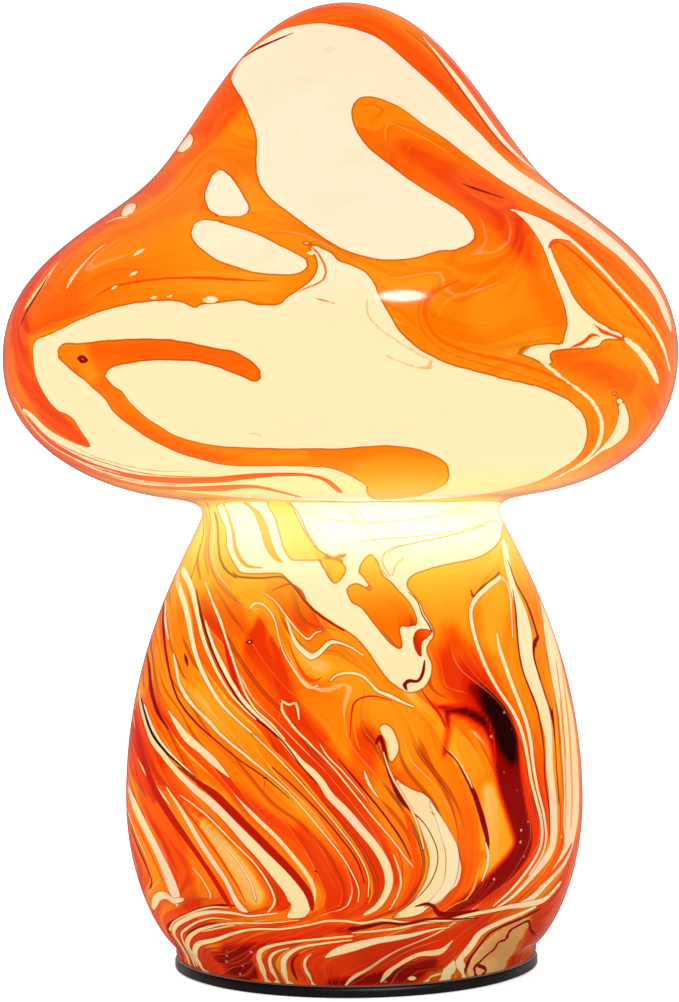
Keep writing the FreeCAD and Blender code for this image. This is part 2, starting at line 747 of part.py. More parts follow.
pieces = {
    "glass_shade": make_glass_shade(),
    "lip_ring": make_lip_ring(),
    "base_pan": make_base_pan(),
    "foot_ring": make_foot_ring(),
    "threaded_tube": make_threaded_tube(),
    "upper_washer": make_upper_washer(),
    "lower_washer": make_lower_washer(),
    "lock_nut": make_lock_nut(),
    "wire_bushing": make_wire_bushing(),
    "riser_sleeve": make_riser_sleeve(),
    "clip_rivets": make_clip_rivets(),
    "holder_cap": make_holder_cap(),
    "holder_lock_screw": make_holder_lock_screw(),
    "holder_core": make_holder_core(),
    "terminal_screws": make_terminal_screws(),
    "holder_skirt": make_holder_skirt(),
    "screw_sleeve": make_screw_sleeve(),
    "centre_contact": make_centre_contact(),
    "bulb_tip": make_bulb_tip(),
    "bulb_insulator": make_bulb_insulator(),
    "bulb_screw_cap": make_bulb_screw_cap(),
    "bulb_housing": make_bulb_housing(),
    "bulb_led_board": make_bulb_led_board(),
    "bulb_dome": make_bulb_dome(),
}
for index, angle in enumerate(CLIP_ANGLES, start=1):
    label = f"spring_clip_{index}"
    pieces[label] = make_spring_clip(label, angle)

document.recompute()
for item in document.Objects:
    if "Invalid" in item.State or "Error" in item.State:
        raise RuntimeError(f"{item.Label} failed to build")

os.makedirs("parts", exist_ok=True)
for label, piece in pieces.items():
    shape = piece.Shape
    if shape.isNull() or not shape.isValid():
        raise RuntimeError(f"{label} has no valid shape")
    shape.exportStep(f"parts/{label}.step")
    box = shape.BoundBox
    print(f"{label}: {len(shape.Solids)} solid(s), {shape.Volume:.1f} mm3,"
          f" z {box.ZMin:.2f} to {box.ZMax:.2f}, reach {box.XMax:.2f}")
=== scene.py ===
import math

import bpy
import numpy as np
from mathutils import Matrix, Vector


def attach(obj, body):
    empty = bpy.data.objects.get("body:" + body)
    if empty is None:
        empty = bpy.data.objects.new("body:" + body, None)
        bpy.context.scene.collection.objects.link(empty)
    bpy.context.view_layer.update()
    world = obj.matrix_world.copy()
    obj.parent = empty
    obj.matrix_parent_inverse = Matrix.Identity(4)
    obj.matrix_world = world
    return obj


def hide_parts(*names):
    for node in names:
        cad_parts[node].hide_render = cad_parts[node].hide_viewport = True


# Mushroom table lamp of marbled blown glass, lit from inside. Sizes are in millimetres and become
# metres through MM. The pattern of the glass is drawn in the photograph's own frame of pixels.

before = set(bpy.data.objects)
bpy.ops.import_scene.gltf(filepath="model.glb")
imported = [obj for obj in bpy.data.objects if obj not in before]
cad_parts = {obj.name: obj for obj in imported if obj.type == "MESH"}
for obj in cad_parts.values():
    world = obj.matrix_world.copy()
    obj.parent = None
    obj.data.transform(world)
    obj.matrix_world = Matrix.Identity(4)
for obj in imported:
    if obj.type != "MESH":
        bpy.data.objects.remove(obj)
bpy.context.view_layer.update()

MM = 0.001
TURN = 2 * math.pi

# Camera, as the photograph was taken
PHOTO_WIDTH, PHOTO_HEIGHT = 679, 1002
FOCAL_PIXELS = 2484.2
CAMERA_DISTANCE = 648.5
CAMERA_HEIGHT = 122.7
CAMERA_TILT = math.radians(0.196)
CAMERA_YAW = math.radians(-0.256)
CAMERA_ROLL = math.radians(0.707)
PIXEL = CAMERA_DISTANCE / FOCAL_PIXELS

# Glass outline: radius and height of each station
GLASS_WALL = 2.6
LIP_BOTTOM = 3.1
LIP_POLISH = 0.5
FOOT = (46.9, 5.8)
BELLY = (59.4, 43.4)
NECK = (38.7, 118.0)
UNDER = (48.4, 121.8)
RIM = (87.4, 157.8)
FLANK = (52.0, 202.8)
CROWN = (0.0, 250.0)
FOOT_SLOPE, UNDER_SLOPE, FLANK_SLOPE = 35.7, 9.0, 44.4
STEM_TOP = NECK[1]

# The blown cap sits a little to the left of the stem
CAP_SWAY = -2.2
SWAY_FROM, SWAY_FULL, SWAY_FADES, SWAY_ENDS = 118.0, 152.0, 165.0, 212.0


def smooth_step(value, low, high):
    t = np.clip((np.asarray(value, float) - low) / (high - low), 0.0, 1.0)
    return t * t * (3.0 - 2.0 * t)


def sway(z):
    return (CAP_SWAY * smooth_step(z, SWAY_FROM, SWAY_FULL)
            * (1 - smooth_step(z, SWAY_FADES, SWAY_ENDS)))


# Glass outline

def handle(place, slope, reach):
    angle = math.radians(slope)
    return (place[0] + reach * math.cos(angle), place[1] + reach * math.sin(angle))


def bend(start, leave, arrive, end, steps=160):
    """A cubic curve from start to end by its two handles."""
    t = np.linspace(0.0, 1.0, steps)[:, None]
    poles = [np.array(p, float) for p in (start, leave, arrive, end)]
    return ((1 - t) ** 3 * poles[0] + 3 * (1 - t) ** 2 * t * poles[1]
            + 3 * (1 - t) * t ** 2 * poles[2] + t ** 3 * poles[3])


def outline(depth):
    """Foot to crown at a depth under the outer face, as radius and height. The handles' lengths are
    those of the outer face; each is trimmed by what its bend loses inside."""
    def shift(place, slope):
        angle = math.radians(slope)
        return (place[0] - depth * math.sin(angle), place[1] - depth * math.cos(angle))

    def trim(turn):
        return depth * 4 / 3 * math.tan(math.radians(turn) / 4)

    foot_trim, under_trim, rim_trim = (trim(90 - s) for s in (FOOT_SLOPE, UNDER_SLOPE, FLANK_SLOPE))
    crown_trim = trim(FLANK_SLOPE)
    mitre = depth * (1 - math.sin(math.radians(FOOT_SLOPE))) / math.cos(math.radians(FOOT_SLOPE))
    foot = (FOOT[0] - depth, FOOT[1] + mitre)
    belly, neck, rim = ((place[0] - depth, place[1]) for place in (BELLY, NECK, RIM))
    under = shift(UNDER, UNDER_SLOPE)
    under = (under[0], 2 * UNDER[1] - under[1])
    flank = shift(FLANK, FLANK_SLOPE)
    crown = (0.0, CROWN[1] - depth)
    bends = [
        (foot, handle(foot, FOOT_SLOPE, 6.5), handle(belly, -90, 18.8 - foot_trim), belly),
        (belly, handle(belly, 90, 43.2), handle(neck, -90, 5.0), neck),
        (neck, handle(neck, 90, 2.7 + under_trim),
         handle(under, 180 + UNDER_SLOPE, 3.2 + under_trim), under),
        (under, handle(under, UNDER_SLOPE, 19.1 - under_trim),
         handle(rim, -90, 22.6 - under_trim), rim),
        (rim, handle(rim, 90, 24.5 - rim_trim),
         handle(flank, -FLANK_SLOPE, 16.7 - rim_trim), flank),
        (flank, handle(flank, 180 - FLANK_SLOPE, 19.7 - crown_trim),
         handle(crown, 0, 26.7 - crown_trim), crown),
    ]
    return np.concatenate([bend(*b)[1:] for b in bends])


def lip_arc(centre, start, end, steps=5):
    angles = np.radians(np.linspace(start, end, steps))
    return np.column_stack([centre[0] + LIP_POLISH * np.cos(angles),
                            centre[1] + LIP_POLISH * np.sin(angles)])


def along(line):
    """Length along a line up to each of its points."""
    return np.concatenate([[0.0], np.cumsum(np.hypot(*np.diff(line, axis=0).T))])


def resampled(line, spacing, dense_points=4000):
    """The line again, its points as far apart as spacing says at each height."""
    lengths = along(line)
    dense = np.linspace(0, lengths[-1], dense_points)
    height = np.interp(dense, lengths, line[:, 1])
    count = np.concatenate([[0], np.cumsum(np.diff(dense) / spacing(height[1:]))])
    stops = np.interp(np.linspace(0, count[-1], int(round(count[-1])) + 1), count, dense)
    return np.column_stack([np.interp(stops, lengths, line[:, k]) for k in (0, 1)])


LIP_ROUND = lip_arc((FOOT[0] - LIP_POLISH, LIP_BOTTOM + LIP_POLISH), -90, 0)
OUTER_LINE = np.concatenate([LIP_ROUND, [FOOT], outline(0.0)])
OUTER_RADIUS, OUTER_HEIGHT = OUTER_LINE[:, 0], OUTER_LINE[:, 1]
OUTER_LENGTH = along(OUTER_LINE)
SLOPE_OUT = np.gradient(OUTER_RADIUS, OUTER_LENGTH)
SLOPE_UP = np.gradient(OUTER_HEIGHT, OUTER_LENGTH)


def at_length(length, values=OUTER_RADIUS):
    """A value of the outer outline, its radius if no other is named, at a length up it."""
    return np.interp(length, OUTER_LENGTH, values)


# Camera rays onto the glass, searched from before the cap's rim to behind the lamp's axis

SEARCH_BEFORE, SEARCH_BEHIND, SEARCH_STEPS = 95, 30, 500


def camera_axes():
    sy, cy = math.sin(CAMERA_YAW), math.cos(CAMERA_YAW)
    st, ct = math.sin(CAMERA_TILT), math.cos(CAMERA_TILT)
    ahead = np.array([sy * ct, cy * ct, -st])
    right = np.array([cy, -sy, 0.0])
    up = np.cross(right, ahead)
    sr, cr = math.sin(CAMERA_ROLL), math.cos(CAMERA_ROLL)
    return right * cr - up * sr, up * cr + right * sr, ahead


RIGHT, UP, AHEAD = camera_axes()
CAMERA_PLACE = np.array([0.0, -CAMERA_DISTANCE, CAMERA_HEIGHT])


def on_glass(pixels):
    """For each pixel of the photograph: angle round the glass, length up its outline, and how
    squarely the glass faces the camera there."""
    pixels = np.asarray(pixels, float)
    rays = (AHEAD * FOCAL_PIXELS + np.outer(pixels[:, 0] - PHOTO_WIDTH / 2, RIGHT)
            - np.outer(pixels[:, 1] - PHOTO_HEIGHT / 2, UP))
    rays /= np.linalg.norm(rays, axis=1)[:, None]
    reach = np.linspace(CAMERA_DISTANCE - SEARCH_BEFORE, CAMERA_DISTANCE + SEARCH_BEHIND,
                        SEARCH_STEPS)
    spots = CAMERA_PLACE + rays[:, None, :] * reach[None, :, None]
    outside = (np.hypot(spots[..., 0] - sway(spots[..., 2]), spots[..., 1])
               - np.interp(spots[..., 2], OUTER_HEIGHT, OUTER_RADIUS))
    hit = np.argmax(outside < 0, axis=1)
    missed = ~(outside < 0).any(axis=1)
    hit[missed] = np.argmin(outside[missed], axis=1)
    picked = np.arange(len(pixels))
    before = np.maximum(hit - 1, 0)
    share = outside[picked, before] / (outside[picked, before] - outside[picked, hit] + 1e-9)
    share = np.where(missed, 1.0, np.clip(share, 0, 1))[:, None]
    spot = spots[picked, before] * (1 - share) + spots[picked, hit] * share
    angle = np.arctan2(spot[:, 0] - sway(spot[:, 2]), -spot[:, 1])
    length = np.interp(spot[:, 2], OUTER_HEIGHT, OUTER_LENGTH)
    out, up = at_length(length, SLOPE_UP), -at_length(length, SLOPE_OUT)
    normal = np.column_stack([out * np.sin(angle), -out * np.cos(angle), up])
    return angle, length, np.abs((normal * rays).sum(axis=1))


# The marbling, as drawn shapes: a tone for each ink, from pale to dark, and the colour it glows in

GLAZE = {
    "cream": (0.0, (255, 238, 202)), "peach": (0.12, (255, 208, 140)),
    "amber": (0.25, (255, 166, 30)), "light": (0.4, (255, 136, 8)),
    "orange": (0.5, (255, 112, 2)), "rust": (0.62, (252, 80, 2)), "red": (0.74, (226, 28, 0)),
    "maroon": (0.86, (138, 4, 0)), "black": (1.0, (34, 0, 0)),
}
CREAM, ORANGE = GLAZE["cream"][0], GLAZE["orange"][0]


def drawn(text):
    """Shapes from text, one to a line: its ink as a name or a tone, its feather if it has one, then
    its places in pixels as x,y or x,y,half width. A line that is set in goes on with the shape
    above it."""
    shapes = []
    for line in text.splitlines():
        if not line or line.startswith("#"):
            continue
        if not line.startswith(" "):
            shapes.append(([], []))
        head, places = shapes[-1]
        for word in line.split():
            if "," in word:
                places.append([float(number) for number in word.split(",")])
            else:
                head.append(GLAZE[word][0] if word in GLAZE else float(word))
    return [(*head, places) for head, places in shapes]


# Closed outlines of plain colour
POOLS = drawn("""
cream 243,58 262,42 280,31 300,26 320,24 342,27 362,32 380,40 400,56 420,74 440,93 460,114 480,134
  500,155 520,172 545,188 575,208 600,228 622,247 642,268 657,288 668,312 672,335 664,318 655,298
  640,279 620,258 600,242 578,226 552,211 528,197 505,183 488,171 468,157 445,139 425,126 405,111
  390,103 375,98 361,98 353,105 351,114 354,127 361,140 372,152 390,166 410,181 432,195 452,207
  466,218 474,232 472,242 455,250 440,251 420,257 400,260 378,260 358,255 340,248 320,236 300,221
  282,208 268,196 259,181 256,163 257,148 256,135 250,118 242,100 235,89 231,79 235,69
cream 219,171 226,174 236,186 246,203 248,211 243,216 233,217 220,216 210,211 206,204 205,195
  208,184 213,175
cream 192,230 195,224 203,221 214,222 228,226 245,231 262,238 280,247 296,255 305,261 307,267
  303,272 292,275 275,275 255,273 235,267 218,261 203,251 195,243 191,236
cream 189,135 192,140 190,147 184,152 179,153 177,150 183,142
cream 121,213 125,206 131,204 135,206 133,212 127,216 122,217
cream 33,350 36,342 45,338 60,331 80,321 100,313 120,308 140,304 165,302 182,304 190,308 196,310
  201,306 215,305 240,302 256,306 272,307 282,305 286,300 300,291 312,281 318,269 316,257 308,247
  300,241 316,247 330,254 338,262 352,267 365,274 373,284 379,298 386,310 398,331 412,345 428,356
  450,366 475,373 505,381 532,387 552,394 568,402 580,413 586,428 584,446 575,459 560,469 535,482
  500,491 460,497 400,501 330,501 260,499 205,494 170,490 130,482 100,472 75,460 55,446 38,430
  22,410 32,414 46,428 60,437 72,443 84,447 91,448 89,442 82,432 75,421 67,415 58,411 48,400 40,386
  35,372
orange 57,353 60,347 66,344 80,344 100,342 130,340 160,340 180,342 200,346 220,350 233,352 245,358
  255,365 261,372 262,377 259,382 253,383 245,379 232,374 215,368 195,363 175,362 155,362 135,364
  118,367 108,372 105,376 108,381 115,388 122,392 128,400 135,408 145,417 160,427 175,436 190,441
  215,446 240,448 270,449 300,449 340,449 365,447 385,446 410,448 425,452 438,458 446,464 449,473
  447,482 438,489 425,494 415,497 385,500 372,499 366,492 366,486 358,481 345,474 330,469 300,467
  265,467 240,467 220,465 200,460 185,456 170,450 150,440 135,430 120,419 112,411 106,401 95,391
  85,382 75,375 65,366 58,359
cream 508,209 525,213 545,221 560,230 572,241 563,240 553,240 550,246 556,262 565,281 574,299
  584,312 596,322 608,329 620,335 630,343 615,340 603,341 599,347 588,349 568,350 554,352 549,357
  552,366 545,365 535,360 524,356 515,352 530,348 548,346 563,345 564,337 568,329 566,311 560,292
  552,270 543,247 533,230 520,216
cream 610,389 617,396 624,405 628,418 627,432 621,440 612,447 600,453 585,464 570,472 590,458
  603,446 612,434 618,420 618,407 614,397
# the stem's white branch, and the islands in it
cream 222,504 226,530 228,550 235,565 242,573 260,574 280,574 288,580 300,592 308,603 322,616
  340,627 356,638 368,651 378,666 388,680 400,689 411,693 424,688 430,678 431,664 426,652 428,644
  434,636 431,626 424,615 419,603 409,592 406,585 412,576 430,569 455,563 480,557 497,545 502,530
  501,504 430,503 360,503 290,503
amber 268,503 290,504 299,520 309,538 320,551 332,556 345,554 343,560 300,562 290,560 284,552
  280,540 275,522
orange 320,563 330,561 342,563 347,570 344,577 336,585 330,581 324,571
orange 346,592 350,586 358,584 366,588 371,591 364,580 358,572 362,562 370,555 378,562 383,575
  392,583 400,592 410,603 416,615 417,625 408,628 400,628 402,640 403,648 398,650 388,643 376,628
  366,615 360,608 352,604
red 417,631 413,638 414,647 418,656 422,658 422,645 428,638 432,632 425,630
cream 380,728 386,726 393,732 398,745 397,755 391,763 388,752 386,742 382,735
cream 394,778 402,785 412,791 425,796 433,805 438,815 444,826 450,838 457,848 460,862 461,872
  457,885 449,893 440,902 430,907 420,915 405,918 393,918 402,912 412,903 422,890 428,875 430,860
  427,846 422,832 415,815 408,803 400,793
0.07 470,968 478,952 490,940 503,930 520,920 528,920 526,932 518,942 512,952 506,964 500,973 484,977
  474,979
""")

# Where the threads of the stream are calm, and how calm
CALMS = drawn("""
0.25 14 440,590,32 450,625,24
0.3 10 380,600,30
0.35 10 500,610,16 497,640,12
0.6 10 320,660,24 350,690,24 400,730,24
0.2 6 489,792,11 494,815,14 500,840,16 496,862,14
0.3 5 200,822,5 222,848,8 243,874,10 254,896,10
0.12 4 488,958,14 512,936,11
0.1 6 446,712,10 466,714,14 485,716,16 505,750,14 518,820,10
0.25 8 220,350,20 100,352,20 130,400,16 200,455,16 300,458,18 400,475,22
""")

# Broad soft streaks under the threads
WASHES = drawn("""
rust 4 14,330,5 22,300,6 40,272,6 62,250,5
light 10 120,268,26 170,255,34 215,285,20 260,288,14
light 10 240,190,10 262,225,12 300,245,8
rust 9 232,80,8 222,104,14 208,126,12 190,146,10
0.57 9 178,160,8 158,180,10 134,202,9 108,220,8 82,240,6
rust 8 285,28,6 330,14,9 380,26,8 440,78,9 500,140,8 560,190,6
0.56 8 410,150,6 450,175,9 490,200,12 515,235,9 530,262,6
light 10 360,275,14 430,275,16 500,262,12 500,300,30 520,330,26
0.58 5 560,360,5 600,372,7 630,385,6
0.6 4 490,207,1 500,218,2.5 506,232,2.5 508,244,1
0.64 3 572,370,.6 590,368,1.4 612,374,1.2
light 8 600,290,10 630,320,10 645,345,8
0.63 3 440,48,2 470,84,3 500,124,3.5 530,158,3 560,182,3 600,214,3 640,252,3
light 5 130,400,4 165,428,5 230,452,5 300,455,5
light 6 65,352,7 80,356,8 90,375,6
0.55 5 95,352,5 130,350,7 190,352,6 245,368,5
light 8 390,478,16 420,478,14
rust 4 20,340,7 24,372,7 45,410,8 75,437,6
# stem
0.34 10 210,505,12 212,540,14 205,570,12
0.34 12 330,650,24 380,690,30 400,740,26
amber 5 238,585,7 262,594,9 290,625,5 300,655,8 320,670,10
0.3 4 248,600,7 252,618,5 255,630,2
orange 3 272,590,6 300,615,12 320,628,6
0.32 14 440,590,30 450,620,22
0.3 8 495,600,12 492,640,9
rust 4 260,625,5 256,650,12 262,680,15 274,705,14 302,735,14 330,765,12 355,805,10 378,845,9
  392,880,8
0.68 4 272,640,2 280,665,4 286,690,7 300,715,6 325,740,4
rust 4 203,600,3 212,625,6 220,650,8 232,676,7 248,700,6
0.68 3 150,690,3 158,715,5 172,738,7 192,762,8 222,785,5
0.66 3 222,782,5 250,808,7 290,840,10 320,867,12 336,890,11 336,906,9
0.7 3 138,725,8 150,755,8 176,786,7 212,818,6 250,852,6 276,880,6 284,906,5
light 8 250,770,10 290,806,10 316,830,8
rust 6 365,740,12 362,780,12
light 6 200,700,10 230,740,10 280,775,10 305,800,8
0.64 6 302,830,6 322,856,9 340,880,9 346,898,7
0.62 6 146,790,8 160,820,12 172,850,12 182,880,10 190,900,8
rust 5 170,770,5 196,800,5 224,830,5 262,876,5 286,908,5
light 8 430,760,12 450,800,10 462,850,8
0.66 12 452,636,8 460,664,20 478,700,20
0.74 9 466,668,6 476,690,16 492,716,16
maroon 3 434,706,1 450,711,3.5 468,714,4 486,722,5
maroon 3 447,712,2 448,730,3 446,746,2.5 444,757,1
0.16 5 489,792,7 494,815,12 498,838,15 499,856,14 490,872,9
0.13 4 204,826,4 222,848,7 240,872,10 252,895,11
0.76 4 126,715,4 131,742,6 141,772,6 154,798,3
maroon 4 474,690,5 488,705,10 503,738,13 511,785,12 518,815,10 524,840,9 518,858,9 503,875,9
  484,891,8 464,905,6 445,914,3
black 5 480,690,2 488,702,7 498,720,12 507,742,11 512,758,6
black 2 452,711,.5 464,712,1.2 478,719,2 490,728,2
red 2 476,706,.5 488,722,1.2 494,742,1.4 496,762,.6
0.62 4 532,930,4 534,945,5 526,960,6 514,972,5
maroon 4 352,931,4 300,937,5 262,941,6 240,952,9 236,975,11
0.7 8 196,950,8 205,962,9 215,975,9
0.66 6 320,965,20 390,962,18 440,948,12 480,925,6
0.66 4 190,930,7 225,936,6 270,936,5 330,932,4
maroon 4 330,984,4 360,982,5 410,972,6 430,965,5
""")

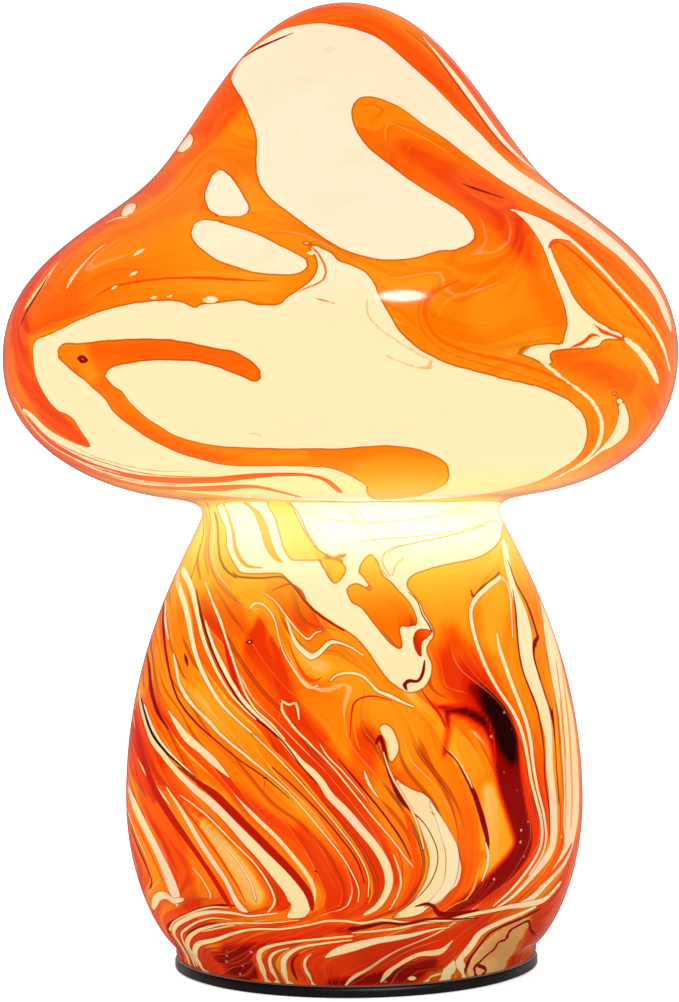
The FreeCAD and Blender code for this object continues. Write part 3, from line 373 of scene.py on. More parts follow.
# Crisp streaks over everything else
STREAKS = drawn("""
# cap
cream 424,38,.3 440,57,1 455,76,1.8 470,96,2.2 485,117,2.2 500,137,2 515,153,1.6 530,166,1.2
  550,181,.5
maroon 243,58,.6 255,50,.9 268,44,.9 282,38,.8 294,33,.3
cream 566,236,1.5 580,248,1.5 600,268,1.5 620,290,1.3 640,312,1.2 655,332,1.2 664,350,1 670,372,.6
cream 626,341,1.5 638,351,2 648,364,2 655,377,1.5 658,384,.6
cream 540,362,1.2 552,371,1.5 565,382,1.2 580,392,1.2 592,403,1.2 600,418,1.2 601,433,1.2
  596,448,1.2 584,461,1 566,473,1 550,481,.6
orange 303,244,.3 315,251,.8 322,261,.9 326,272,.9 323,281,.9 312,287,.9 298,293,.5
rust 28,418,.8 45,437,1.6 66,452,2.2 100,468,2.2 140,478,2.3 180,481,2.3 220,480,2.3 260,476,2
  300,475,1.5 325,480,1.2 341,493,.8
rust 18,412,.8 40,440,1.4 60,457,1.9 100,475,1.9 140,486,1.9 180,489,1.9 215,489,2.4 240,487,1.8
  262,488,1.4 300,497,.8
0.3 66,442,.2 80,450,.3 100,459,.35 140,469,.35 170,472,.35 200,472,.2
0.72 24,411,.2 46,436,.35 72,451,.4 104,463,.4 140,473,.4 180,477,.35 230,477,.2
0.72 34,434,.2 58,453,.35 96,471,.4 140,482,.4 190,486,.3
cream 14,398,.3 30,424,.7 52,446,.8 84,463,.6 120,474,.4
rust 95,297,.4 110,289,1 130,284,1 150,281,1.2 175,279,1.3 205,279,1.3 240,281,1.1 280,283,.4
peach 24,310,.4 33,298,2 43,284,1.6 52,270,.8 58,262,.3
maroon 20,327,.4 28,309,.9 40,290,.8 48,276,.4
peach 66,290,.4 71,280,1.6 80,268,1 95,252,.5 108,243,.2
maroon 462,184,.3 475,189,1.1 490,194,.8 505,199,.3
0.54 462,280,.6 440,290,1.6 428,300,2 425,314,2 430,330,1.8 445,344,1.8 475,355,1.6 510,363,1.6
  545,374,1.4 572,388,.8
0.54 452,280,.4 434,290,.6 421,302,.7 418,316,.7 424,334,.7 440,350,.7 470,362,.7 505,371,.7
  540,383,.6 560,392,.4
0.54 362,108,.5 372,105,.8 384,112,.7 372,120,.4
0.33 386,142,.4 386,128,.6 396,126,.6 430,142,.6 455,158,.4
0.56 408,152,.4 412,146,.7 425,150,.7 450,165,.4
0.36 438,320,.6 442,308,1.2 450,300,1 470,292,.7 490,276,.4
rust 549,250,.5 553,243,1 562,244,1 580,258,1.2 600,277,1.2 622,300,1.2 642,325,1 652,340,.5
rust 594,325,.6 603,333,1.3 617,338,1 630,345,.5
rust 570,349,.6 583,344,1.4 592,336,1.2 600,338,.5
peach 104,224,.3 116,219,.7 127,218,.3
cream 310,254,2.2 312,254,2.2
cream 137,254,2 140,252,2
cream 132,275,1.8 134,274,1.8
cream 206,301,2.8 214,301,3
cream 113,289,1.5 115,288,1.5
cream 152,299,1.6 155,299,1.6
cream 168,298,1.3 171,297,1.3
orange 314,299,.3 322,301,1.1 332,304,.6 337,305,.2
0.2 367,300,.4 368,316,.6 380,330,.6 398,343,.6 420,356,.6 433,364,.6 430,370,.6 415,368,.6
  395,361,.6 383,355,.5
maroon 80,360,2.4 85,361,2.6
rust 82,360,.7 84,361,.7
0.66 430,34,.2 452,60,.5 475,92,.6 498,125,.6 520,152,.5 545,173,.3
maroon 405,30,.2 430,50,.35 452,78,.4 474,108,.4 496,138,.4 520,162,.3
peach 250,435,.4 256,435,.8 262,438,.4
0.05 328,50,2.2 331,50,2.2
# neck
amber 246,503,1 256,513,2.6 263,528,3.4 268,545,3.4 275,558,2.4 282,563,.8
maroon 206,502,.3 213,510,.6 217,525,.8 218,545,.9 220,560,.9 226,571,.9 236,579,.7
rust 290,503,.4 296,510,.6 302,522,.7 308,535,.6 318,548,.4
peach 212,503,.4 214,530,.8 212,555,.8 218,575,.6 230,590,.4
0.6 208,503,.3 210,525,.6 208,548,.7 210,566,.7 218,584,.6 230,600,.4
maroon 203,512,.2 203,535,.4 198,556,.4 192,575,.4 188,590,.3
0.3 224,503,.4 232,530,1.2 236,552,1.6 246,566,1.4 262,569,.6
0.22 300,512,.2 330,520,.5 370,524,.5 420,519,.4 470,511,.2
0.22 345,545,.2 380,540,.5 420,537,.45 470,529,.3 495,521,.2
0.2 338,505,.2 352,515,.6 366,530,.5 380,548,.3
0.24 386,556,.3 398,548,.6 420,543,.6 452,536,.5 486,526,.3
0.5 352,508,.2 361,514,.5 366,523,.3
light 204,505,.5 207,530,1.2 205,555,1.4 208,575,1
rust 200,545,.4 197,562,1 200,580,.6
# stem, left
peach 181,560,.8 177,576,1.2 178,590,.8
cream 176,580,.8 182,598,1.5 187,616,1.8 190,632,1.8 194,650,1.8 200,668,1.8 210,688,1.6 222,706,1.4
  240,724,1.1 262,743,.9 284,765,.7
cream 182,570,1 190,586,1.6 194,601,1.8 198,620,1.5 203,640,1.5 210,658,1.4 218,675,1.3 229,693,1.1
  242,708,.9 256,721,.6
cream 205,622,.8 212,645,1.6 221,665,2.1 232,686,2.1 244,703,1.8 260,719,1.5 276,735,1.6 288,748,2
  300,762,2.5 312,773,3 321,783,3.3 330,797,3.6 345,812,3.8 357,826,3.8 370,841,3.8 380,855,3.8
  387,869,3.8 389,884,3.5 385,897,3 377,908,2.4 365,915,1.5
cream 205,583,.6 211,600,.8 219,619,1.2 225,637,1 232,658,1.1 238,676,1.1 245,694,1 256,711,.9
  272,726,1.1 285,741,.7
cream 173,655,.6 176,668,1.2 179,684,1.2 187,699,1.6 195,709,1.2 208,722,1.6 222,737,1.4 240,752,1.2
  262,770,1 285,790,.8 305,812,.8 325,836,.8 345,862,.8 358,888,.7 358,905,.5
cream 168,711,.4 176,724,1.8 186,738,2.8 200,750,2.8 213,762,3 224,773,1.6 230,779,.4
cream 139,690,.6 140,704,.8 145,722,1.2 152,740,1.8 164,757,1.8 178,774,2.1 194,790,2.6 210,803,3.2
  228,820,4 247,840,5.2 265,858,6.4 280,875,7.5 293,890,8.6 299,903,8.8 299,911,7.5 290,917,2.5
cream 144,706,.5 150,724,1 158,740,1.2 172,757,1.2 188,772,1 202,786,.8 212,792,.3
black 141,700,.4 147,722,.8 154,738,.9 166,753,.8 182,768,.6 196,779,.4
0.8 178,768,.6 200,785,2 216,797,3.4 232,813,3.8 250,831,3.8 268,849,3.8 286,867,3.6 301,884,3.4
  310,898,3.2 312,910,2
red 131,716,.6 134,738,2 140,756,2 150,775,1.6
0.78 134,712,.6 137,733,1.4 142,755,1.8 150,780,2.2 161,802,2.6 174,822,2.6 188,842,2.4 202,862,2.2
  214,880,2.2 226,900,2.4 232,909,.6
peach 134,745,.5 139,760,.8 146,775,.8 160,793,1 170,806,.6
cream 128,788,.8 133,803,1.8 141,820,2.3 151,840,2.7 160,858,3.2 168,876,4 174,892,4.4 176,901,3
rust 132,815,.3 140,832,.6 150,852,.7 160,874,.7 166,892,.5
cream 166,788,.5 178,806,1.3 190,826,2 202,846,2.1 214,864,2.1 226,882,2 234,898,2.2 240,908,2.6
  246,912,1.6
peach 196,818,.3 216,838,.6 236,860,.8 250,882,.9 256,902,.9
0.66 170,792,.3 186,812,.9 204,836,1.2 222,862,1.2 238,888,1 246,904,.5
peach 180,796,.4 206,816,.8 232,842,.8 254,864,.9 268,884,1 275,902,1 268,913,.8
cream 183,900,1 174,902,1.4 167,897,1.6 160,897,1.5 155,903,1.4 153,909,.8
maroon 131,830,.4 138,848,.6 146,866,.6 152,882,.5 150,890,.3
peach 192,868,.4 202,880,.6 210,894,.7 210,900,.4
maroon 163,600,.6 163,620,.9 164,640,.8 167,662,.8 172,684,.8 180,704,.8 196,724,.8 216,742,.7
  238,760,.7 264,778,.7 290,800,.5
maroon 196,590,.4 200,612,.9 206,634,.9 214,656,.9 224,677,.9 236,697,1.1 248,713,1.2 266,728,1.2
  284,744,.9 302,768,.8 318,786,.8
red 224,640,1.2 228,655,2.4 232,672,2.4 238,688,1.5 246,702,.6
maroon 146,650,.4 149,670,1 151,690,1.2 157,712,1.2 168,730,.6
cream 165,600,.4 165,622,.7 168,640,.5
light 262,742,.5 280,758,1.2 300,778,1.3 318,800,1.3 338,824,1.3 355,848,1.3 368,872,1.3 372,893,1
  368,906,.5
cream 252,735,.5 270,752,.8 290,772,.8 312,797,.8 335,824,.8 356,852,.8 368,876,.8 368,898,.5
maroon 272,768,.6 296,790,.8 318,812,.8 340,838,.8 357,862,.8 365,886,.6
# stem, middle
cream 250,611,.8 252,606,1.2 258,604,1 266,608,.8 274,620,.7 279,640,.6 284,655,.7 292,668,.8
  303,684,1 311,689,1 319,686,.6
cream 283,612,.6 287,622,1 291,634,1.3 297,646,2 305,654,2.5 312,658,2.8 320,653,2.3 329,644,2
  340,644,1.3 352,649,1 364,657,.6
peach 262,593,.4 275,602,.7 283,613,.8 292,625,.9 303,637,1 309,640,1 315,634,1 322,632,.6
cream 330,682,.8 337,676,1.2 350,674,1.3 362,677,1.3 370,684,1.3 378,692,1.6 390,697,1.8 402,703,1.4
  414,708,.8
maroon 232,573,.4 240,578,.9 262,579,.9 282,578,.9 294,588,1 306,604,1 322,618,1 344,632,.8
red 270,592,.4 280,588,.9 290,585,1 300,591,1 306,600,.5
rust 288,640,.5 294,658,1 304,676,1.6 314,682,1.6 322,678,.5
peach 282,702,1 282,711,1.2 288,721,1.3 297,732,1.2 310,745,1 325,760,.8 340,777,.9 356,797,.9
  372,817,.9 390,838,.8 405,858,.8 414,869,.4
cream 282,702,1 289,706,1 295,704,1 298,712,1.2 299,721,.6
cream 320,745,.6 328,758,.8 342,772,.8 356,788,.8 368,803,.4
maroon 338,760,.6 352,776,1 368,796,1 386,818,1 402,842,1 412,862,.5
cream 364,771,.8 368,783,1.6 374,793,1.2 379,800,.4
maroon 376,745,1.5 380,737,1.8 384,750,2 388,770,1.8 394,787,2 402,802,2.2 411,812,1 424,824,.6
  433,840,.6 438,856,.6 435,874,.6 424,892,.6 406,908,.4
peach 383,752,.5 388,768,.9 394,782,1 402,795,1 412,812,1 419,830,.9 424,850,.8
peach 393,855,.5 398,868,.9 401,883,1 397,898,.9 389,912,.5
rust 402,806,.5 408,822,2 413,842,2.6 416,862,2.4 412,884,2 402,902,1.4 394,912,.5
rust 430,812,.4 438,820,.8 441,832,.5
0.05 430,803,.6 438,818,2.4 446,836,4.4 452,852,5.4 452,870,5.4 448,886,4.4 438,898,3 426,907,1
red 421,690,.6 430,703,1.2 440,716,1.6 446,728,1
maroon 446,752,.8 457,762,1 466,778,1.6 474,794,2.3 480,812,2.6 485,830,2.4 488,846,1.6 486,860,.8
peach 449,751,.5 460,764,.8 468,779,.8 473,790,.4
cream 485,842,.6 488,855,1.4 487,868,1.2 482,882,.6
maroon 425,662,1 423,674,1.6 418,682,1.5 409,682,1.8 404,687,1.8 408,692,.5
maroon 408,592,.5 418,603,.6 422,615,.7 429,626,.8 432,633,.8
amber 371,553,.6 378,567,.7 388,578,.7
amber 410,545,.4 395,548,.5 384,555,.6 383,565,.6 391,578,.6
amber 405,558,.4 396,566,.5 392,578,.5
light 350,700,.6 353,715,1 355,735,1 360,752,.5
red 350,740,.5 352,712,1 356,702,1 372,697,.9 392,702,.5
# stem, right
cream 524,558,2 535,580,4 545,605,5.5 551,632,6 556,660,6.3 562,690,6.6 568,720,7.2 571,750,7.4
  573,790,7.4 572,820,7 569,845,4.4 562,862,3.4 549,880,2.4 534,897,2 518,906,1.2
cream 505,545,2 509,570,2.5 514,590,3 521,610,4.5 525,630,6 526,650,6.3 530,670,6.5 537,690,6.3
  542,705,5.8 546,720,4.8 549,740,3.5 550,770,3.4 553,800,3.4 554,830,3.4 552,848,3 543,864,2.4
  528,882,1.8 512,898,1.4 496,909,.8
maroon 539,637,.8 535,645,1.4 536,658,2.4 541,674,2.9 547,694,2.7 552,714,1.6 555,740,.6 557,775,.5
  559,805,.4
0.42 536,648,.4 537,659,1.6 542,675,2.1 548,694,1.9 552,710,.8
rust 541,680,.3 545,694,.4 550,708,.3
0.3 562,668,.3 566,700,.8 570,740,.9 572,790,.8 571,830,.5
rust 556,660,.3 560,690,.4 563,720,.4 566,760,.4
maroon 508,560,.4 516,583,.8 526,602,.8 533,620,.9 538,638,1
cream 501,578,1.2 488,588,1.5 476,600,1.7 471,613,1.7 474,633,1.8 480,653,1.7 489,674,1.6
  500,693,1.4 509,706,1.4 518,722,1.6 524,740,1.6 528,760,1.6 531,780,1.4 536,800,1.3 541,820,1.3
  542,838,1.3 538,854,1.2 526,873,1.2 510,892,1.1 492,908,.6
cream 497,633,.6 500,650,1.7 505,665,1.9 512,685,1.9 520,705,1.9 527,725,1.8 531,745,1.7 534,770,1.4
  538,792,1.2 544,816,1.1 546,840,1 541,858,.9 529,876,.8
maroon 513,590,.4 516,612,.7 518,640,.8 522,668,.8 530,690,.8 537,708,.8 541,728,.8 544,750,.7
  545,780,.6 549,810,.6 550,838,.5
maroon 471,590,.6 474,598,1.2 483,588,1.1 494,580,.8 500,573,.5
peach 502,578,.8 508,586,1 511,600,1 512,620,.7 513,640,.5
amber 560,700,.5 563,730,.8 565,760,.8 566,800,.8 565,830,.5
rust 536,890,.5 550,876,1.2 562,862,1.2 572,845,.6
# fold, and the foot under it
maroon 414,908,.5 425,905,1.6 433,907,1.6 440,915,2.4 462,915,2.4 478,911,1
maroon 478,919,.6 455,920,1 430,920,1.2 405,925,1.4 385,924,1.4 365,928,2.2 350,930,2
cream 560,884,.8 545,900,1.2 528,905,1.6 508,908,1.4 490,912,1.3 468,916,1.3 448,921,1.3 425,921,1.3
  408,924,1.2 382,921,1.2 362,924,1.1 345,922,1 328,922,1 308,926,.9 282,930,.9 255,930,.9 235,934,1
  215,941,1.2 201,944,1.2 196,949,1.1 196,957,.9 200,965,.8 204,972,.8 208,977,.6
cream 278,914,.6 262,916,.8 248,917,.9 232,914,1 214,913,1.2 199,915,1.3 187,920,1.1 177,926,.9
  174,934,.8 180,944,.8 186,954,.7 190,966,.5
cream 232,921,.3 214,919,.5 200,922,.6 189,928,.6 182,935,.5 185,945,.5 191,956,.5 195,968,.4
maroon 240,926,.3 214,924,.5 199,928,.5 188,935,.5 190,946,.5 196,958,.4
maroon 236,907,.5 222,906,1 204,909,1.1 188,916,1.1 176,922,1 169,929,.9 172,938,.8 180,950,.8
  183,962,.6
peach 230,909,.3 214,908,.6 200,911,.7 186,917,.7 175,923,.6 170,931,.5
peach 300,921,.4 270,924,.6 240,924,.7 218,926,.8 200,931,.9 190,938,1 188,946,1 193,955,.9
  197,966,.6
peach 352,937,1 330,939,1 300,942,1.1 275,946,1.2 262,951,1.5 259,958,1.6 262,967,1.4 265,977,1.2
  269,985,.8
cream 352,941,.5 325,944,1 302,948,1.2 290,954,1.5 284,961,1.8 284,970,1.5 286,979,1.4 291,987,.8
peach 290,949,.4 276,953,1 270,960,1.1 272,970,1 277,980,.8 279,986,.5
peach 312,954,.4 306,960,.9 305,967,.9 309,976,.9 314,987,.5
maroon 300,953,.4 293,961,.9 293,970,.9 298,982,.6
cream 326,958,1 334,954,2.8 345,950,3.8 360,946,3.6 376,942,3 395,939,2.4 412,936,1.8 432,931,1
  450,928,.5
peach 352,934,.5 375,932,1 400,929,1.1 422,924,1.1 446,922,1 474,919,1
peach 381,983,.8 388,973,1.6 398,966,1.6 410,959,1.8 420,955,1.8 432,954,2.4 441,952,2.4 448,946,1.2
  453,941,.5
cream 441,984,.6 445,976,3 450,968,2.6 453,962,.8
cream 535,908,.8 520,915,1.2 503,922,1.6 488,929,2 478,936,2.6 472,945,2.8 465,954,2.6 459,961,2
  461,968,1.6 464,978,1
maroon 540,910,.5 522,919,.9 505,926,1 490,934,1 482,943,1 475,952,1 468,962,1 465,974,.7
maroon 476,978,.6 474,968,.8 480,962,.8 486,956,.8 494,950,.9 498,943,.8 506,940,.9 509,932,.9
  517,927,.8 528,922,.7 530,930,.7 535,936,.5
maroon 482,978,.5 486,970,1 478,966,.8
cream 410,979,1.6 414,979,1.6
# small bubbles
maroon 248,643,2 251,643,2
peach 249,643,.8 250,643,.8
maroon 184,654,.3 186,661,1.4 188,668,.3
maroon 264,779,1.1 266,779,1.1
maroon 265,781,.3 264,790,.3 263,796,.2
maroon 315,872,1 317,873,1
maroon 316,875,.3 314,884,.3
peach 425,986,.5 430,978,.8 438,975,.7 444,974,.5
""")

# Lines that lead the stream where nothing is drawn
CURRENTS = [places for (places,) in drawn("""
385,130 430,160 465,185 488,205 495,230 478,250 440,262 395,267
300,30 360,18 410,45 460,95 510,148 560,188 610,225 650,265
250,45 300,14 350,8 400,30 450,78 500,130
225,75 235,100 245,130 247,160 262,195 290,225 330,250
190,130 200,150 225,160 245,185 262,205
60,250 100,235 150,210 190,170 215,120
60,290 100,270 150,258 185,250
15,330 20,360 35,395 60,425 85,440
390,280 430,275 480,265 510,250 515,225 505,200 480,180
400,300 440,290 490,280 525,265 530,240
410,330 450,350 500,365 550,385 590,410
440,300 460,330 500,345 540,340
480,295 510,310 550,325
560,250 590,290 620,320 650,345
590,250 625,285 655,325 668,360
560,360 600,372 640,390 655,410
575,375 605,395 612,425 600,450
590,470 630,450 655,420 668,385
440,580 450,620 460,660 480,700 500,740 515,790 520,830
480,590 478,630 488,670 505,710 520,750 528,800 530,840 510,880
330,600 350,640 372,670 395,700 430,720 450,760 470,800 480,850
290,600 310,640 340,665 370,690 395,720 410,760 430,790
250,600 275,650 300,700 330,730 350,770 380,820 400,870 395,900
220,600 245,660 280,715 320,765 355,810 390,860 395,890
200,720 240,760 280,800 320,845 345,890 345,915
160,660 175,700 210,745 255,785 300,830 335,880
135,700 150,745 185,790 230,835 275,880 285,910
578,700 580,760 578,820 565,870 540,900
200,980 260,960 330,940 420,925 500,905 560,880
360,600 380,640 420,700 460,720 490,760
420,740 440,780 465,820 478,870 470,905
""")]

# How the drawn shapes are laid on the glass: points of a curve for each place drawn, the least half
# width in pixels, the least squareness that widens it, and the least radius, next to the crown
CURVE_STEPS = 6
LEAST_HALF, LEAST_FACING = 0.2, 0.28
LEAST_RADIUS = 6.0
# Streaks that share a layer stay this many pixels apart
LAYERS, PIXEL_ROOM = 6, 14
# Millimetres round a pool and round a streak that their fields reach, and round a pool its ink
FIELD_REACH, STREAK_REACH = 8.0, 4
INK_MARGIN = 0.8
# A streak's half width falls by these shares beyond its shoulder and past its ends
SHOULDER, SIDE_TAPER, END_TAPER = 1.0, 2.5, 0.8
# The offset where no streak is near, and how far outside its width one still counts
NO_STREAK, LEAST_GAIN = 9.0, -8
# The mesh is coarser at the back: pools are drawn in by this, and thin lines of the cap left out
BACK_TRIM = 0.8
THIN = 0.36
NECK_ROW = 495


def curved(places, closed):
    """A smooth line through the places."""
    p = np.asarray(places, float)
    if closed:
        p = np.concatenate([p[-1:], p, p[:2]])
    else:
        p = np.concatenate([2 * p[:1] - p[1:2], p, 2 * p[-1:] - p[-2:-1]])
    t = np.linspace(0, 1, CURVE_STEPS, endpoint=False)[:, None]
    parts = [0.5 * (2 * b + (c - a) * t + (2 * a - 5 * b + 4 * c - d) * t ** 2
                    + (3 * b - a - 3 * c + d) * t ** 3)
             for a, b, c, d in zip(p, p[1:], p[2:], p[3:])]
    return np.concatenate(parts if closed else parts + [p[-2:-1]])


def glass_line(places, closed=False):
    """A drawn line on the glass: angle, length up the outline, and half width in millimetres."""
    if len(places) == 1:
        x, y, half = places[0]
        places = [(x, y, half), (x + 0.5, y, half)]
    line = curved(places, closed)
    angle, length, facing = on_glass(line[:, :2])
    if line.shape[1] < 3:
        return np.column_stack([angle, length])
    half = np.maximum(line[:, 2], LEAST_HALF) * PIXEL / np.maximum(facing, LEAST_FACING)
    return np.column_stack([angle, length, half])


def wrapped(angle):
    """The same angle from half a turn left of the front to half a turn right of it."""
    return (angle + math.pi) % TURN - math.pi


def half_turned(angle):
    return (angle + TURN) % TURN - math.pi


# The drawing is carried round to the back as well, and waved there: up by as much as 7 mm, and
# round by as much as 0.2 radians, most at the middle of the back and not at all at its sides

def wave_up(angle):
    return 7 * np.maximum(np.cos(angle), 0) * np.sin(2.3 * angle + 0.6)


def wave_round(angle, length):
    return 0.2 * np.maximum(np.cos(angle), 0) * np.sin(length / 17)


def to_the_back(line, rounds=6):
    """The place at the back where a drawn place of the front shows up again."""
    angle, length = line.T.copy()
    for k in range(rounds):
        length = line[:, 1] - wave_up(angle)
        angle = line[:, 0] - wave_round(angle, length)
    return np.column_stack([half_turned(angle), length])


class Chart:
    """The outer skin's points as angle from the front, length up the outline and radius."""

    def __init__(self, angle, length, radius, trim=0.0):
        self.angle, self.length, self.radius, self.trim = angle, length, radius, trim

    def turned_back(self):
        """The same points, for the drawing at the back."""
        angle = half_turned(self.angle)
        length = self.length + wave_up(angle)
        return Chart(angle + wave_round(angle, length), length, self.radius, BACK_TRIM)

    def near(self, line, margin):
        """Indices of the points within a margin of the line's own box."""
        room = margin / np.maximum(self.radius, LEAST_RADIUS)
        (left, low), (right, high) = line[:, :2].min(axis=0), line[:, :2].max(axis=0)
        inside = ((self.angle > left - room) & (self.angle < right + room)
                  & (self.length > low - margin) & (self.length < high + margin))
        return np.nonzero(inside)[0]

    def offsets(self, line, picked, closed=False):
        """Nearest segment's distance, signed offset, distance past the line's ends, and the line's
        half width there."""
        best = np.full(len(picked), np.inf)
        side, past, place = np.zeros((3, len(picked)))
        radius, angle, length = self.radius[picked], self.angle[picked], self.length[picked]
        count = len(line) if closed else len(line) - 1
        for k in range(count):
            a, b = line[k], line[(k + 1) % len(line)]
            dx, dy = (b[0] - a[0]) * radius, b[1] - a[1]
            px, py = (angle - a[0]) * radius, length - a[1]
            square = dx * dx + dy * dy + 1e-12
            t = (px * dx + py * dy) / square
            held = np.clip(t, 0, 1)
            distance = np.hypot(px - held * dx, py - held * dy)
            nearer = distance < best
            cross = (dx * py - dy * px) / np.sqrt(square)
            ends = (np.where((k == 0) & (t < 0), -t, 0)
                    + np.where((k == count - 1) & (t > 1), t - 1, 0))
            overshoot = ends * np.sqrt(square)
            best = np.where(nearer, distance, best)
            side = np.where(nearer, np.where(overshoot > 0, cross, np.sign(cross) * distance), side)
            past = np.where(nearer, overshoot, past)
            place = np.where(nearer, k + held, place)
        return best, side, past, np.interp(place, np.arange(len(line)), line[:, -1])

    def inside(self, line, picked):
        """True where a point lies within the closed line."""
        angle, length = self.angle[picked], self.length[picked]
        odd = np.zeros(len(picked), bool)
        for a, b in zip(line, np.roll(line, -1, axis=0)):
            if a[1] == b[1]:
                continue
            crosses = (a[1] > length) != (b[1] > length)
            odd ^= crosses & (angle < (b[0] - a[0]) * (length - a[1]) / (b[1] - a[1]) + a[0])
        return odd


def paint_pools(charts, pool, tone):
    for chart in charts:
        for ink, places in POOLS:
            line = glass_line(places, True)
            picked = chart.near(line, FIELD_REACH)
            distance = chart.offsets(line, picked, True)[0]
            depth = np.where(chart.inside(line, picked), distance, -distance) - chart.trim
            if ink == CREAM:
                pool[picked] = np.maximum(pool[picked], depth)
            else:
                pool[picked] = np.minimum(pool[picked], -depth)
                tone[picked] = np.where(depth > -INK_MARGIN, ink, tone[picked])


def paint_washes(charts, tone, washes):
    for chart in charts:
        for ink, feather, places in washes:
            line = glass_line(places)
            soft = feather * PIXEL
            picked = chart.near(line, line[:, 2].max() + soft * 2)
            distance, side, past, half = chart.offsets(line, picked)
            share = 1 - smooth_step(distance - half, -soft, soft)
            tone[picked] += (ink - tone[picked]) * share


def layer_plan():
    """Which layer each streak goes on, so that no two on one layer come close."""
    runs = [curved([p[:2] for p in places], False) for ink, places in STREAKS]
    widths = [max(p[2] for p in places) for ink, places in STREAKS]
    layers = [[] for k in range(LAYERS)]
    for index, run in enumerate(runs):
        rooms = []
        for layer in layers:
            room = [np.hypot(*(run[:, None] - runs[k][None]).T).min() - widths[k] for k in layer]
            rooms.append(min(room, default=math.inf) - widths[index])
        enough = [k for k, room in enumerate(rooms) if room > PIXEL_ROOM]
        layers[enough[0] if enough else int(np.argmax(rooms))].append(index)
    return layers


def paint_streaks(charts, count):
    """Per layer: signed offset from the nearest streak, its half width there, and its ink."""
    fields = []
    for layer in layer_plan():
        offset, half_width = np.full(count, NO_STREAK), np.full(count, -SHOULDER)
        inks, score = np.full(count, ORANGE), np.full(count, -NO_STREAK)
        for chart in charts:
            for ink, places in (STREAKS[index] for index in layer):
                line = glass_line(places)
                if chart.trim and places[0][1] < NECK_ROW and line[:, 2].max() < THIN:
                    continue
                picked = chart.near(line, line[:, 2].max() + STREAK_REACH)
                distance, side, past, half = chart.offsets(line, picked)
                clear = np.maximum(np.abs(side) - half - SHOULDER, 0)
                half = half - SIDE_TAPER * clear - END_TAPER * past
                gain = half - np.abs(side)
                wins = (gain > score[picked]) & (gain > LEAST_GAIN)
                chosen = picked[wins]
                offset[chosen], half_width[chosen], inks[chosen] = side[wins], half[wins], ink
                score[chosen] = gain[wins]
        fields.append((offset, np.maximum(half_width, -SHOULDER), inks))
    return fields


# The stream of the marbling: one smooth number over the whole glass whose level lines run along
# the drawn lines, so that fine threads of colour can follow it between them

STREAM_COLUMNS, STREAM_STEP = 180, 1.7
STREAM_BLURS = ((2.0, 1.0), (6.0, 0.1), (20.0, 0.01))
STREAM_ROUNDS = 700
# How firmly the level lines are held to the drawn lines, and how many lines hold them half as much
HOLD, HALF_HELD = 12.0, 0.05
# Short streaks don't lead the stream
LEADING_PLACES = 5
# The way across the flow that every line is turned to, down the stem and round the cap
STEM_FLOW, CAP_FLOW = np.array([0.0, -1.0]), np.array([1.0, -0.4])


def stream_samples():
    """Points on the drawn lines and the way across each, all pointing to one side of the flow."""
    samples = []
    lines = [(glass_line(places, True), True) for ink, places in POOLS]
    lines += [(glass_line(p), False) for ink, p in STREAKS if len(p) >= LEADING_PLACES]
    lines += [(glass_line(places), False) for places in CURRENTS]
    for line, closed in lines:
        flat = line[:, :2]
        if closed:
            flat = np.concatenate([flat, flat[:1]])
        on_stem = at_length(flat[:, 1], OUTER_HEIGHT).mean() < STEM_TOP
        chord = (flat[-1] - flat[0]) * (at_length(flat[:, 1]).mean(), 1.0)
        wanted = STEM_FLOW if on_stem else CAP_FLOW
        if not closed and chord.dot(wanted) < 0:
            flat = flat[::-1]
        for copy, turn in ((flat, 1.0), (to_the_back(flat), -1.0 if on_stem else 1.0)):
            step = np.diff(copy, axis=0)
            step[:, 0] = wrapped(step[:, 0])
            mid = copy[:-1] + step / 2
            run = step * np.column_stack([at_length(mid[:, 1]), np.ones(len(mid))])
            size = np.hypot(*run.T) + 1e-9
            sense = run.dot(wanted) / np.hypot(*wanted) / size if closed else np.ones(len(mid))
            samples.append(np.column_stack([mid, run[:, 1] * sense * turn,
                                            -run[:, 0] * sense * turn, size]))
    return np.concatenate(samples)


